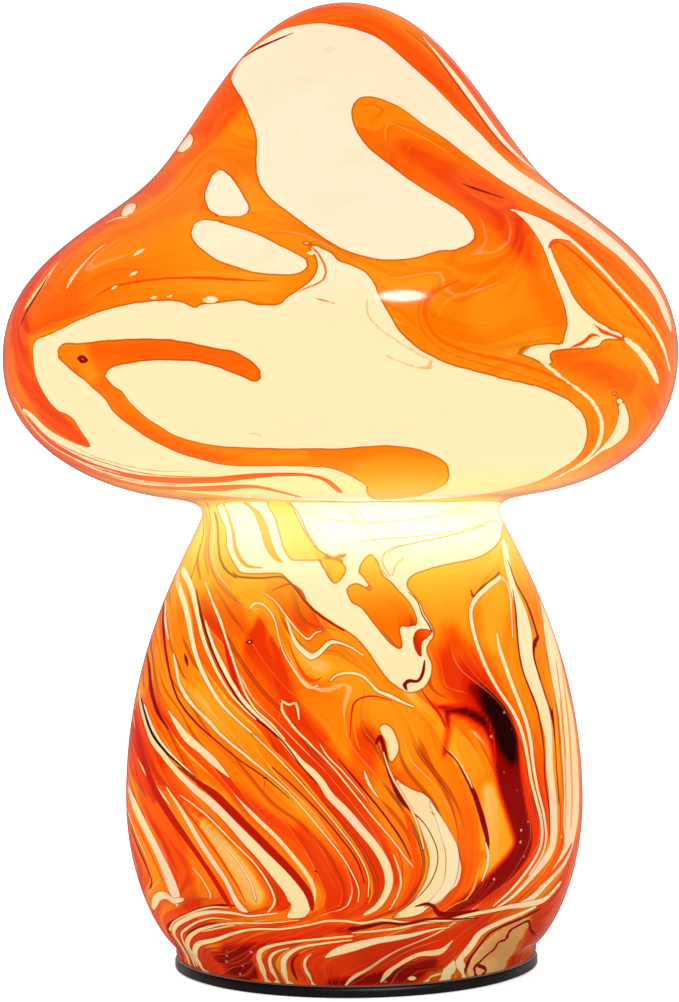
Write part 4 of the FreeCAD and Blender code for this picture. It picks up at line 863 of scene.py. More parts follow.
def make_stream():
    """The stream on a grid of angle and length, by least squares."""
    rows = int(OUTER_LENGTH[-1] / STREAM_STEP) + 1
    lengths = np.linspace(0, OUTER_LENGTH[-1], rows)
    step_y = lengths[1]
    radius = np.maximum(at_length(lengths), LEAST_RADIUS)
    step_x = (radius * 2 * math.pi / STREAM_COLUMNS)[:, None]
    samples = stream_samples()
    column = np.round((samples[:, 0] + math.pi) / TURN * STREAM_COLUMNS).astype(int)
    column %= STREAM_COLUMNS
    row = np.clip(np.round(samples[:, 1] / step_y).astype(int), 0, rows - 1)
    sown = np.zeros((3, rows, STREAM_COLUMNS))
    for k in range(3):
        np.add.at(sown[k], (row, column), samples[:, 2 + k])
    waves = np.fft.rfftfreq(STREAM_COLUMNS, 1 / STREAM_COLUMNS)
    across, near = np.zeros((2, rows, STREAM_COLUMNS)), None
    for size, share in STREAM_BLURS:
        fade = np.exp(-0.5 * (waves[None] * size / radius[:, None]) ** 2)
        spread = np.exp(-0.5 * ((lengths[:, None] - lengths[None]) / size) ** 2) / size ** 2
        soft = np.fft.irfft(np.fft.rfft(sown, axis=2) * fade, STREAM_COLUMNS, axis=2)
        soft = np.einsum("ij,kjc->kic", spread, soft)
        across += share * soft[:2] / step_x
        near = soft[2] / step_x if near is None else near
    across /= np.hypot(*across) + 1e-6
    held = HOLD * near / (near + HALF_HELD)
    tangent = np.stack([-across[1], across[0]])
    level = np.zeros((1, STREAM_COLUMNS))

    def slope(u):
        return np.stack([(np.roll(u, -1, axis=1) - u) / step_x,
                         np.concatenate([np.diff(u, axis=0), level]) / step_y])

    def unslope(v):
        vx, vy = v[0] / step_x, v[1] / step_y
        vy[-1] = 0
        return (np.roll(vx, 1, axis=1) - vx) + (np.concatenate([level, vy[:-1]]) - vy)

    def weighed(v):
        lean = held * (tangent[0] * v[0] + tangent[1] * v[1])
        return step_x * step_y * (v + lean * tangent)

    u = np.zeros((rows, STREAM_COLUMNS))
    rest = unslope(weighed(across))
    heading = rest.copy()
    power = (rest * rest).sum()
    for k in range(STREAM_ROUNDS):
        pushed = unslope(weighed(slope(heading)))
        share = power / (heading * pushed).sum()
        u += share * heading
        rest -= share * pushed
        fresh = (rest * rest).sum()
        heading = rest + fresh / power * heading
        power = fresh
    return u, step_y


def stream_at(chart):
    """The stream at the points of a chart, between the grid's own points."""
    grid, step_y = make_stream()
    x = ((chart.angle + math.pi) / TURN * STREAM_COLUMNS) % STREAM_COLUMNS
    y = np.clip(chart.length / step_y, 0, len(grid) - 1.001)
    column, row = np.floor(x).astype(int) % STREAM_COLUMNS, np.floor(y).astype(int)
    fx, fy = x - np.floor(x), y - row
    ahead = (column + 1) % STREAM_COLUMNS
    return ((grid[row, column] * (1 - fx) + grid[row, ahead] * fx) * (1 - fy)
            + (grid[row + 1, column] * (1 - fx) + grid[row + 1, ahead] * fx) * fy)


# Glass mesh: points round each skin, and how far apart its rings are at each height

COLUMNS, INNER_COLUMNS = 400, 100
FRONT_CROWDING = 0.45
FINE_BELOW, STEM_SPACING, CAP_SPACING = 122, 1.15, 1.75
LIP_BELOW, LIP_SPACING, INNER_SPACING = 6, 0.6, 4.5

# How brightly the bulb lights the glass from inside, by height
GLOW_HEIGHTS = [0, 4, 12, 26, 60, 150, 200, 250]
GLOW_SHARES = [0.5, 0.62, 0.84, 0.96, 1.0, 1.0, 0.99, 0.97]
# It shines straight through the narrow neck, and fades off below and above it
NECK_LIGHT, NECK_LIGHT_HEIGHT, NECK_FADE_DOWN, NECK_FADE_UP = 0.42, 116, 11, 8
PLAIN_TONE = 0.46
CAP_STIR = 0.5


def column_angles(count):
    """Angles from the front, closer together there than at the back."""
    u = np.arange(count) / count
    return TURN * u - FRONT_CROWDING * np.sin(TURN * u)


def ring_places(line, angles):
    """Points of rings round the axis, one ring for each place of the line."""
    r, z = line[:, 0][:, None], line[:, 1][:, None]
    x = r * np.sin(angles) + sway(z)
    y = -r * np.cos(angles)
    return np.stack([x, y, np.broadcast_to(z, x.shape)], axis=2).reshape(-1, 3)


def band_faces(first, second, count):
    here = np.arange(count)
    ahead = (here + 1) % count
    return np.column_stack([first + here, first + ahead, second + ahead, second + here])


def skin_faces(start, rings, columns, crown):
    """Bands of quads between a skin's rings, and triangles from its last ring to its crown."""
    bands = [band_faces(start + k * columns, start + (k + 1) * columns, columns)
             for k in range(rings - 1)]
    last = start + (rings - 1) * columns
    return np.concatenate(bands).tolist() + [[last + k, last + (k + 1) % columns, crown]
                                             for k in range(columns)]


def lip_faces(start):
    """The closed underside of the lip, between the two skins' first rings."""
    step = COLUMNS // INNER_COLUMNS
    faces = []
    for k in range(INNER_COLUMNS):
        here, ahead = start + k, start + (k + 1) % INNER_COLUMNS
        fan = [(k * step + i) % COLUMNS for i in range(step + 1)]
        faces += [[here, fan[i + 1], fan[i]] for i in range(step)]
        faces.append([here, ahead, fan[-1]])
    return faces


def make_glass_mesh():
    outer = resampled(OUTER_LINE,
                      lambda z: np.where(z < FINE_BELOW, STEM_SPACING, CAP_SPACING))[:-1]
    inner_line = np.concatenate([
        lip_arc((FOOT[0] - GLASS_WALL + LIP_POLISH, LIP_BOTTOM + LIP_POLISH), 270, 180),
        outline(GLASS_WALL)])
    inner = resampled(inner_line,
                      lambda z: np.where(z < LIP_BELOW, LIP_SPACING, INNER_SPACING))[:-1]
    angles = column_angles(COLUMNS)
    inner_angles = angles[::COLUMNS // INNER_COLUMNS]
    places = np.concatenate([ring_places(outer, angles), ring_places(inner, inner_angles),
                             [[0, 0, CROWN[1]], [0, 0, CROWN[1] - GLASS_WALL]]])
    start = len(outer) * COLUMNS
    outer_skin = skin_faces(0, len(outer), COLUMNS, len(places) - 2)
    inner_skin = skin_faces(start, len(inner), INNER_COLUMNS, len(places) - 1)
    faces = outer_skin + [face[::-1] for face in inner_skin] + lip_faces(start)
    mesh = bpy.data.meshes.new("marbled_glass")
    mesh.from_pydata((places * MM).tolist(), [], faces)
    mesh.update()
    slots = np.zeros(len(faces), np.int32)
    slots[len(outer_skin):] = 1
    mesh.polygons.foreach_set("material_index", slots)
    mesh.polygons.foreach_set("use_smooth", np.ones(len(faces), bool))
    chart = Chart(wrapped(np.tile(angles, len(outer))), np.repeat(along(outer), COLUMNS),
                  np.repeat(outer[:, 0], COLUMNS))
    return mesh, chart, places[:start, 2]


def neck_light(z):
    fade = np.where(z < NECK_LIGHT_HEIGHT, NECK_FADE_DOWN, NECK_FADE_UP)
    return np.exp(-((z - NECK_LIGHT_HEIGHT) / fade) ** 2)


def make_glass():
    mesh, chart, z = make_glass_mesh()
    charts = [chart.turned_back(), chart]
    pool, tone = np.full(len(z), -FIELD_REACH), np.full(len(z), PLAIN_TONE)
    paint_pools(charts, pool, tone)
    paint_washes(charts, tone, WASHES)
    stir = np.where(z < STEM_TOP, 1.0, CAP_STIR)
    paint_washes(charts, stir, CALMS)
    # painted light: share of the bulb's light through the neck, which brightens the glass there
    neck_glow = neck_light(z)
    glow = np.interp(z, GLOW_HEIGHTS, GLOW_SHARES) + NECK_LIGHT * neck_glow
    fields = {"pool": pool, "tone": tone, "stream": stream_at(chart), "stir": stir, "neck_glow": neck_glow,
              "glow": glow}
    for index, streaks in enumerate(paint_streaks(charts, len(z))):
        fields.update(zip((f"offset_{index}", f"half_{index}", f"ink_{index}"), streaks))
    for name, values in fields.items():
        # the inner wall and the crowns get a plain value
        full = np.full(len(mesh.vertices), 1.0 if name == "glow" else 0.0)
        full[:len(values)] = values
        mesh.attributes.new(name, "FLOAT", "POINT").data.foreach_set("value", full)
    glass = placed("marbled_glass", mesh, marbled_glass_skin(), opal_inner_wall())
    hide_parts("glass_shade")
    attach(glass, "glass")


def placed(name, mesh, *finishes):
    """A mesh put into the scene as an object with these finishes."""
    for finish in finishes:
        mesh.materials.append(finish)
    piece = bpy.data.objects.new(name, mesh)
    bpy.context.scene.collection.objects.link(piece)
    return piece


# Materials

def linear(rgb):
    return tuple((c / 255 / 12.92) if c <= 10 else ((c / 255 + 0.055) / 1.055) ** 2.4 for c in rgb)


class Nodes:
    """A node tree, with a call that adds a node, feeds it and returns its output."""

    def __init__(self, tree):
        self.tree = tree

    def add(self, kind, feeds, output=0, **settings):
        node = self.tree.nodes.new(kind)
        for key, value in settings.items():
            setattr(node, key, value)
        for key, source in feeds.items():
            self.feed(node.inputs[key], source)
        return node.outputs[output]

    def feed(self, socket, source):
        if isinstance(source, bpy.types.NodeSocket):
            self.tree.links.new(source, socket)
        else:
            socket.default_value = source


class Shader(Nodes):
    """A material's node tree, with short calls for the nodes that recur. Colours are given as on
    screen, 0 to 255."""

    def __init__(self, name):
        self.material = bpy.data.materials.new(name)
        self.material.use_nodes = True
        super().__init__(self.material.node_tree)
        self.surface = self.tree.nodes["Principled BSDF"]
        self.place = self.add("ShaderNodeTexCoord", {}, "Object")

    def maths(self, operation, *sources):
        return self.add("ShaderNodeMath", dict(enumerate(sources)), operation=operation)

    def times(self, first, *others):
        for other in others:
            first = self.maths("MULTIPLY", first, other)
        return first

    def spread(self, value, low, high, to_low=0.0, to_high=1.0):
        """Smoothly from one end to the other as the value goes from low to high."""
        return self.add("ShaderNodeMapRange", {
            "Value": value, "From Min": low, "From Max": high, "To Min": to_low, "To Max": to_high},
            interpolation_type="SMOOTHSTEP")

    def part(self, axis):
        return self.add("ShaderNodeSeparateXYZ", {0: self.place}, axis)

    def level(self, low, high, *ends):
        """Smoothly from one end to the other between two heights in millimetres."""
        return self.spread(self.part("Z"), low * MM, high * MM, *ends)

    def field(self, name):
        return self.add("ShaderNodeAttribute", {}, "Fac", attribute_name=name)

    def noise(self, scale, detail=2.0, roughness=0.5, vector=None):
        return self.add("ShaderNodeTexNoise", {"Vector": vector or self.place, "Scale": scale,
                                               "Detail": detail, "Roughness": roughness}, "Fac")

    def cells(self, scale):
        return self.add("ShaderNodeTexVoronoi", {"Vector": self.place, "Scale": scale}, "Distance")

    def ramp(self, factor, stops):
        node = self.tree.nodes.new("ShaderNodeValToRGB")
        elements = node.color_ramp.elements
        while len(elements) < len(stops):
            elements.new(0.5)
        for element, (position, colour) in zip(elements, stops):
            element.position = position
            element.color = (*linear(colour), 1)
        self.feed(node.inputs["Fac"], factor)
        return node.outputs["Color"]

    def streamed(self, slow, w):
        """Noise that changes slowly over the glass and has a pattern of its own for each w."""
        return self.add("ShaderNodeTexNoise", {"Vector": self.scaled(self.place, slow), "W": w,
                                               "Scale": 1.0, "Detail": 1.0}, "Fac",
                        noise_dimensions="4D")

    def bands(self, stream, period, seed):
        """Bands along the stream: a tone for each, millimetres to the nearest edge, and a mark for
        each edge."""
        drift = self.times(self.streamed(24, seed), 9.0 / period)
        phase = self.maths("MULTIPLY_ADD", stream, 1.0 / period, drift)
        band, edge = self.maths("FLOOR", phase), self.maths("ROUND", phase)
        apart = self.times(self.maths("ABSOLUTE", self.maths("SUBTRACT", phase, edge)), period)
        tone = self.streamed(16, self.maths("MULTIPLY_ADD", band, 5.17, seed))
        mark = self.streamed(20, self.maths("MULTIPLY_ADD", edge, 7.31, seed + 0.5))
        return tone, apart, mark

    def mix(self, factor, first, second):
        first, second = (c if isinstance(c, bpy.types.NodeSocket) else (*linear(c), 1)
                         for c in (first, second))
        return self.add("ShaderNodeMix", {0: factor, 6: first, 7: second}, 2, data_type="RGBA")

    def over(self, colour, ink, *shares):
        """The colour with an ink laid over it, as strongly as the shares' product."""
        return self.mix(self.times(*shares), colour, ink)

    def bumps(self, height, distance, strength):
        return self.add("ShaderNodeBump",
                        {"Height": height, "Distance": distance, "Strength": strength}, "Normal")

    def scaled(self, colour, amount):
        return self.add("ShaderNodeVectorMath", {0: colour, "Scale": amount}, operation="SCALE")

    def set(self, **values):
        for name, value in values.items():
            self.feed(self.surface.inputs[name.replace("_", " ")], value)
        return self.material

    def glowing(self, colour, strength, **values):
        """Glow that is seen but not sampled as a lamp."""
        self.material.cycles.emission_sampling = "NONE"
        return self.set(Emission_Color=colour, Emission_Strength=strength, **values)


# The stream's bands: millimetres from one to the next, seed, and how far their tones swing
BANDS = [(5.6, 3.0, 0.26), (2.3, 40.0, 0.2), (1.1, 77.0, 0.12)]
# Threads on the bands' edges: which bands, the marks from none to full, colour and strength
THREADS = [
    (2, 0.40, 0.34, (206, 44, 0), 0.7), (1, 0.44, 0.37, (180, 32, 0), 0.75),
    (0, 0.42, 0.35, (140, 14, 0), 0.85), (1, 0.60, 0.68, (255, 186, 70), 0.75),
    (0, 0.57, 0.66, (255, 226, 160), 0.9),
]
THREAD_HALF, SOFT_EDGE = 0.24, 0.06


def coloured_glass(shader, neck_bulb_light):
    """The coloured glass: drawn tones, swung by bands along the stream and edged by threads."""
    stir, tone = shader.field("stir"), shader.field("tone")
    bend_noise = shader.maths("SUBTRACT", shader.noise(20), 0.5)
    stream = shader.maths("MULTIPLY_ADD", bend_noise, 5.0, shader.field("stream"))
    bands = [shader.bands(stream, period, seed) for period, seed, swing in BANDS]
    darkest = shader.maths("MAXIMUM", tone, 0.7)
    for (band, edge, mark), (period, seed, swing) in zip(bands, BANDS):
        lean = shader.times(shader.spread(band, 0.3, 0.7, -0.5, 0.5), stir)
        tone = shader.maths("MULTIPLY_ADD", lean, swing, tone)
    # painted shade: the tone deepens towards the foot, further from the bulb
    tone = shader.maths("MULTIPLY_ADD", shader.level(75, 35), 0.09, tone)
    colour = shader.ramp(shader.maths("MINIMUM", tone, darkest), list(GLAZE.values()))
    for index, low, high, ink, share in THREADS:
        band, edge, mark = bands[index]
        half = shader.times(shader.spread(mark, low, high), THREAD_HALF)
        thread = shader.spread(shader.maths("SUBTRACT", half, edge), -SOFT_EDGE, SOFT_EDGE)
        colour = shader.over(colour, ink, thread, shader.spread(stir, 0.33, 1.0), share)
    # tiny bubbles in the darkest glass, and the bulb's yellow light painted in near the neck
    colour = shader.over(colour, (250, 170, 150), shader.spread(shader.cells(420), 0.2, 0.1),
                         shader.spread(shader.field("tone"), 0.8, 0.86),
                         shader.spread(shader.noise(160), 0.44, 0.54), 0.8)
    return shader.over(colour, (255, 212, 40), neck_bulb_light, 0.75)


def cream_glass(shader):
    """The opal cream: cloudy and warmer below, with the bulb's light painted in: yellow under the
    cap, nearly white in the neck.
    """
    lower = shader.level(95, 55)
    clouds = shader.spread(shader.noise(22, 3), 0.35, 0.75)
    cream = shader.mix(clouds, (255, 240, 206), (254, 232, 196))
    for ink, shares in (
            ((254, 235, 182), (shader.level(190, 155),)),
            ((255, 226, 120), (shader.level(131, 122), shader.level(116, 119), 0.7)),
            ((254, 226, 182), (shader.spread(shader.noise(70, 4, 0.6), 0.56, 0.74), 0.5)),
            ((252, 222, 162), (lower,)),
            ((250, 208, 176), (lower, shader.spread(shader.noise(34), 0.5, 0.66), 0.8)),
            ((255, 247, 214), (shader.level(105, 113), shader.level(124, 119),
                               shader.spread(shader.noise(40), 0.36, 0.6, 0.35, 1.0)))):
        cream = shader.over(cream, ink, *shares)
    return cream


def lay_streaks(shader, colour, cream, wobble, neck_bulb_light):
    """The drawn streaks, layer by layer, each with a dark line round it where it is pale."""
    warm_cream = shader.mix(0.45, cream, (255, 196, 84))
    rim_line = shader.times(shader.spread(shader.noise(95), 0.32, 0.62, 0.3, 0.95),
                            shader.level(108, 85, 0.25, 1.0))
    for index in range(LAYERS):
        ink = shader.field(f"ink_{index}")
        away = shader.maths("ABSOLUTE", shader.maths("MULTIPLY_ADD", wobble, 0.25,
                                                     shader.field(f"offset_{index}")))
        within = shader.maths("SUBTRACT", shader.field(f"half_{index}"), away)
        colour = shader.over(colour, (140, 26, 0), shader.spread(within, -0.26, -0.06), rim_line,
                             shader.spread(ink, 0.3, 0.1))
        core = shader.mix(shader.spread(within, 0.0, 0.5), warm_cream, cream)
        # painted light: the streak inks take on the bulb's yellow near the neck
        tint = shader.over(shader.ramp(ink, list(GLAZE.values())), (255, 190, 50), neck_bulb_light, 0.3)
        fill = shader.mix(shader.spread(ink, 0.06, 0.0), tint, core)
        colour = shader.mix(shader.spread(within, -0.06, 0.12), colour, fill)
    return colour


def marbled_glass_skin():
    shader = Shader("marbled_glass_skin")
    wobble = shader.maths("SUBTRACT", shader.noise(260), 0.5)
    pool = shader.maths("MULTIPLY_ADD", wobble, 0.5, shader.field("pool"))
    # painted light: where the bulb's yellow is laid over the glass, round the neck
    neck_bulb_light = shader.times(shader.level(90, 109), shader.level(132, 118))
    colour, cream = coloured_glass(shader, neck_bulb_light), cream_glass(shader)
    # a brown line round every pool, and painted shade that darkens the foot in patches
    from_rim = shader.maths("ABSOLUTE", shader.maths("ADD", pool, 0.22))
    rim_line = shader.maths("SUBTRACT", 1.0, shader.spread(from_rim, 0.05, 0.30))
    colour = shader.over(colour, (170, 50, 4), rim_line, 0.6)
    colour = shader.over(colour, (140, 18, 4), shader.level(34, 10),
                         shader.spread(shader.noise(30, 3), 0.42, 0.66), 0.5)
    colour = shader.mix(shader.spread(pool, -0.10, 0.12), colour, cream)
    colour = lay_streaks(shader, colour, cream, wobble, neck_bulb_light)
    # painted light: the bulb's light through the neck washes the colour nearly white
    colour = shader.over(colour, (255, 253, 210), shader.field("neck_glow"), 0.16)
    # seen edge-on the glass shows more of its depth, with a painted reflection at the edge, duller
    # on the left than on the right
    facing = shader.add("ShaderNodeLayerWeight", {}, "Facing")
    across = shader.spread(shader.part("X"), -0.04, 0.04)
    edge_sheen_tint = shader.mix(across, (206, 92, 76), (238, 160, 136))
    colour = shader.over(colour, edge_sheen_tint, shader.spread(facing, 0.68, 0.97),
                         shader.level(100, 140, 0.38, 0.5))
    colour = shader.over(colour, (146, 70, 74), shader.spread(facing, 0.85, 0.95), 0.55)
    # the bulb's light through the glass is painted in as glow: the colour shines, scaled by the
    # glow field
    return shader.glowing(
        shader.scaled(colour, shader.field("glow")), 1.0, Base_Color=shader.scaled(colour, 0.03),
        Roughness=0.3, Specular_IOR_Level=0.0, Coat_Weight=0.06, Coat_Roughness=0.1, Coat_IOR=1.45)


def opal_inner_wall():
    shader = Shader("opal_inner_wall")
    colour = shader.mix(shader.noise(30, 3), (255, 244, 224), (255, 226, 184))
    # painted light: the opal wall glows as if the bulb lit it
    return shader.glowing(colour, 0.8, Base_Color=colour, Roughness=0.35)


def powder_coat(name):
    """A fine orange peel with a few paler specks."""
    shader = Shader(name)
    specks = shader.spread(shader.noise(2600, 1), 0.66, 0.74)
    colour = shader.mix(shader.noise(160, 3), (3, 2, 2), (8, 7, 7))
    return shader.set(Base_Color=shader.over(colour, (44, 41, 39), specks, 0.5),
                      Roughness=shader.spread(shader.noise(90), 0.3, 0.7, 0.34, 0.5),
                      Specular_IOR_Level=0.08,
                      Normal=shader.bumps(shader.noise(1500), 0.00012, 0.5))


def foam_rubber(name):
    shader = Shader(name)
    cells = shader.cells(2200)
    return shader.set(Base_Color=shader.mix(cells, (9, 9, 10), (24, 23, 23)), Roughness=0.95,
                      Specular_IOR_Level=0.2, Normal=shader.bumps(cells, 0.0002, 0.8))


def silicone(name):
    """Soft translucent silicone: dark against the black pan, with the lit glass's red light painted
    in as a glow.
    """
    shader = Shader(name)
    haze = shader.noise(420, 3)
    return shader.set(Base_Color=shader.mix(haze, (34, 33, 31), (20, 19, 18)),
                      Roughness=shader.spread(haze, 0.2, 0.8, 0.36, 0.56),
                      Subsurface_Weight=0.25, Subsurface_Scale=0.002,
                      Emission_Color=shader.mix(haze, (96, 22, 8), (60, 10, 5)),
                      Emission_Strength=0.8, Normal=shader.bumps(shader.noise(1800), 0.00005, 0.3))


def plated_metal(name, dark, bright, smooth, rough, grain):
    """Metal drawn or rolled along z: fine streaks, with duller patches where it is handled."""
    shader = Shader(name)
    stretched = shader.add("ShaderNodeMapping", {"Vector": shader.place, "Scale": (1, 1, 0.12)})
    streaks = shader.noise(grain, 3, 0.6, stretched)
    patches = shader.noise(110)
    return shader.set(Base_Color=shader.mix(shader.times(streaks, patches), dark, bright),
                      Metallic=1.0, Roughness=shader.spread(patches, 0.3, 0.7, smooth, rough),
                      Normal=shader.bumps(streaks, 0.00003, 0.3))


def moulded_plastic(name, dark, bright, smooth, rough):
    """Moulded parts: a faint flow in the colour and a fine spark-eroded grain."""
    shader = Shader(name)
    return shader.set(Base_Color=shader.mix(shader.noise(70, 3), dark, bright),
                      Roughness=shader.spread(shader.noise(300), 0.3, 0.7, smooth, rough),
                      Normal=shader.bumps(shader.noise(4200), 0.00004, 0.35))


def solder_mask(name):
    """White solder mask with a faint copper edge of the pads under it."""
    shader = Shader(name)
    pads = shader.spread(shader.noise(500, 0), 0.56, 0.58)
    return shader.set(Base_Color=shader.mix(pads, (226, 226, 222), (204, 200, 190)), Roughness=0.4,
                      Normal=shader.bumps(pads, 0.00003, 0.4))


def phosphor_gel():
    shader = Shader("phosphor_gel")
    colour = shader.mix(shader.noise(900), (255, 206, 72), (255, 224, 120))
    return shader.glowing(colour, 1.2, Base_Color=colour, Roughness=0.3)


def opal_globe(name):
    """The bulb's globe: lit from inside, brightest over the board."""
    shader = Shader(name)
    warm = shader.mix(shader.noise(45, 3), (255, 240, 206), (255, 230, 186))
    colour = shader.mix(shader.level(94, 116), (255, 190, 104), warm)
    return shader.glowing(colour, 0.9, Base_Color=shader.scaled(colour, 0.15),
                          Roughness=shader.spread(shader.noise(500), 0.3, 0.7, 0.3, 0.4))


# Each finish: its maker, what it is made with, and the CAD nodes that wear it
FINISHES = {
    "painted_black_steel": (powder_coat, (), "base_pan"),
    "cell_foam_rubber": (foam_rubber, (), "foot_ring"),
    "smoked_silicone": (silicone, (), "lip_ring"),
    "zinc_plate": (plated_metal, ((150, 152, 156), (214, 217, 222), 0.24, 0.42, 2400),
                   "threaded_tube upper_washer lower_washer lock_nut riser_sleeve clip_rivets "
                   "holder_lock_screw"),
    "black_thermoplastic": (moulded_plastic, ((17, 17, 18), (31, 30, 30), 0.46, 0.62),
                            "wire_bushing holder_cap holder_skirt"),
    "blued_spring_strip": (plated_metal, ((66, 68, 78), (128, 130, 140), 0.26, 0.44, 3000),
                           "spring_clip_1 spring_clip_2 spring_clip_3"),
    "white_thermoplastic": (moulded_plastic, ((218, 215, 207), (232, 230, 224), 0.3, 0.42),
                            "holder_core bulb_housing"),
    "drawn_brass": (plated_metal, ((164, 118, 48), (226, 186, 104), 0.2, 0.38, 2600),
                    "terminal_screws screw_sleeve centre_contact"),
    "nickel_plate": (plated_metal, ((168, 164, 156), (222, 219, 212), 0.14, 0.3, 2000),
                     "bulb_tip bulb_screw_cap"),
    "black_vitrite": (moulded_plastic, ((8, 8, 10), (20, 19, 22), 0.08, 0.2), "bulb_insulator"),
    "masked_board": (solder_mask, (), "bulb_led_board"),
    "opal_diffuser": (opal_globe, (), "bulb_dome"),
}


def finish_frame():
    """Gives every CAD node its finish; returns the finishes by name."""
    made = {}
    for name, (maker, settings, nodes) in FINISHES.items():
        made[name] = maker(name, *settings)
        for node in nodes.split():
            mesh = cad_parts[node].data
            mesh.materials.clear()
            mesh.materials.append(made[name])
    return made


# Small pieces that repeat or follow a helix

class Growth(Nodes):
    """A Geometry Nodes tree with named inputs, ending in Realize Instances and Set Material."""

    def __init__(self, name, sizes, count):
        super().__init__(bpy.data.node_groups.new(name, "GeometryNodeTree"))
        sockets = self.tree.interface
        for label in sizes.split():
            sockets.new_socket(name=label, in_out="INPUT", socket_type="NodeSocketFloat")
        sockets.new_socket(name=count, in_out="INPUT", socket_type="NodeSocketInt")
        sockets.new_socket(name="Finish", in_out="INPUT", socket_type="NodeSocketMaterial")
        sockets.new_socket(name="Geometry", in_out="OUTPUT", socket_type="NodeSocketGeometry")
        self.given = self.tree.nodes.new("NodeGroupInput").outputs

    def end(self, geometry):
        real = self.add("GeometryNodeRealizeInstances", {"Geometry": geometry})
        dressed = self.add("GeometryNodeSetMaterial",
                           {"Geometry": real, "Material": self.given["Finish"]})
        self.tree.links.new(dressed, self.tree.nodes.new("NodeGroupOutput").inputs[0])
        return self.tree

    def swept(self, path, section):
        return self.add("GeometryNodeCurveToMesh",
                        {"Curve": path, "Profile Curve": section, "Fill Caps": True})


def helical_thread():
    """A ridge wound round the axis, for screw threads."""
    growth = Growth("helical_thread", "Radius Pitch Turns Ridge Bottom", "Corners")
    given = growth.given
    climb = growth.add("ShaderNodeMath", {0: given["Pitch"], 1: given["Turns"]},
                       operation="MULTIPLY")
    path = growth.add("GeometryNodeCurveSpiral", {
        "Resolution": 40, "Rotations": given["Turns"], "Start Radius": given["Radius"],
        "End Radius": given["Radius"], "Height": climb})
    section = growth.add("GeometryNodeCurvePrimitiveCircle",
                         {"Resolution": given["Corners"], "Radius": given["Ridge"]})
    lift = growth.add("ShaderNodeCombineXYZ", {"Z": given["Bottom"]})
    return growth.end(growth.add("GeometryNodeTransform",
                                 {"Geometry": growth.swept(path, section), "Translation": lift}))


def ring_of_blocks():
    """Upright blocks with rounded corners, evenly round the axis and facing out."""
    growth = Growth("ring_of_blocks", "Radius Width Depth Corner Bottom Top", "Count")
    given = growth.given
    stations = growth.add("GeometryNodeMeshCircle",
                          {"Vertices": given["Count"], "Radius": given["Radius"]})
    foot, head = (growth.add("ShaderNodeCombineXYZ", {"Z": given[end]})
                  for end in ("Bottom", "Top"))
    rise = growth.add("GeometryNodeCurvePrimitiveLine", {"Start": foot, "End": head})
    square = growth.add("GeometryNodeCurvePrimitiveQuadrilateral",
                        {"Width": given["Depth"], "Height": given["Width"]})
    rounded = growth.add("GeometryNodeFilletCurve", {"Curve": square, "Radius": given["Corner"],
                                                     "Count": 3, "Limit Radius": True}, mode="POLY")
    place = growth.add("GeometryNodeInputPosition", {})
    facing = growth.add("FunctionNodeAlignRotationToVector", {"Vector": place}, axis="X")
    return growth.end(growth.add("GeometryNodeInstanceOnPoints", {
        "Points": stations, "Instance": growth.swept(rise, rounded), "Rotation": facing}))


def grown(name, tree, finish, **values):
    """The tree's result with these inputs, sizes in millimetres, as a plain mesh object."""
    seed = bpy.data.objects.new(name + "_seed", bpy.data.meshes.new(name + "_seed"))
    bpy.context.scene.collection.objects.link(seed)
    modifier = seed.modifiers.new("growth", "NODES")
    modifier.node_group = tree
    values["Finish"] = finish
    for item in tree.interface.items_tree:
        if item.in_out == "INPUT":
            is_size = item.socket_type == "NodeSocketFloat" and item.name != "Turns"
            modifier[item.identifier] = values[item.name] * MM if is_size else values[item.name]
    mesh = bpy.data.meshes.new_from_object(
        seed.evaluated_get(bpy.context.evaluated_depsgraph_get()))
    mesh.name = name
    bpy.data.objects.remove(seed)
    mesh.materials.clear()
    return placed(name, mesh, finish)


def turned(name, profile, finish, columns=72):
    """A closed profile of radius and height turned round the axis."""
    line = np.array(profile, float)
    angles = np.linspace(0, TURN, columns, endpoint=False)
    places = np.stack([line[:, :1] * np.cos(angles), line[:, :1] * np.sin(angles),
                       np.repeat(line[:, 1:], columns, axis=1)], axis=2).reshape(-1, 3)
    faces = np.concatenate([band_faces(k * columns, (k + 1) % len(line) * columns, columns)
                            for k in range(len(line))])
    mesh = bpy.data.meshes.new(name)
    mesh.from_pydata((places * MM).tolist(), [], faces.tolist())
    mesh.update()
    return placed(name, mesh, finish)


def make_tube_and_thread(finish, thread):
    """The M10 tube: a core turned down to the thread's root, and the thread."""
    core = turned("threaded_tube_core", [(3.8, 4.4), (4.3, 4.4), (4.6, 4.7), (4.6, 41.7),
                                         (4.3, 42.0), (3.8, 42.0)], finish)
    ridge = grown("threaded_tube_thread", thread, finish, Radius=4.58, Pitch=1.0, Turns=36.0,
                  Ridge=0.4, Bottom=5.0, Corners=4)
    for piece in (core, ridge):
        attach(piece, "base")
        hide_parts("threaded_tube")


def make_bulb_cap_and_thread(finish, thread):
    """The bulb's screw cap: a thin shell with its thread rolled into it."""
    shell = turned("bulb_cap_shell", [
        (5.95, 60.4), (6.3, 60.4), (6.66, 61.0), (6.66, 75.7), (6.95, 76.2), (7.7, 77.9),
        (8.3, 79.3), (8.4, 79.7), (8.4, 81.8), (8.3, 82.0), (8.05, 82.0), (8.05, 79.5),
        (6.56, 76.0), (6.56, 61.1)], finish)
    ridge = grown("bulb_cap_thread", thread, finish, Radius=6.36, Pitch=2.82, Turns=4.4, Ridge=0.54,
                  Bottom=62.2, Corners=10)
    for piece in (shell, ridge):
        for polygon in piece.data.polygons:
            polygon.use_smooth = True
        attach(piece, "bulb")
        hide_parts("bulb_screw_cap")


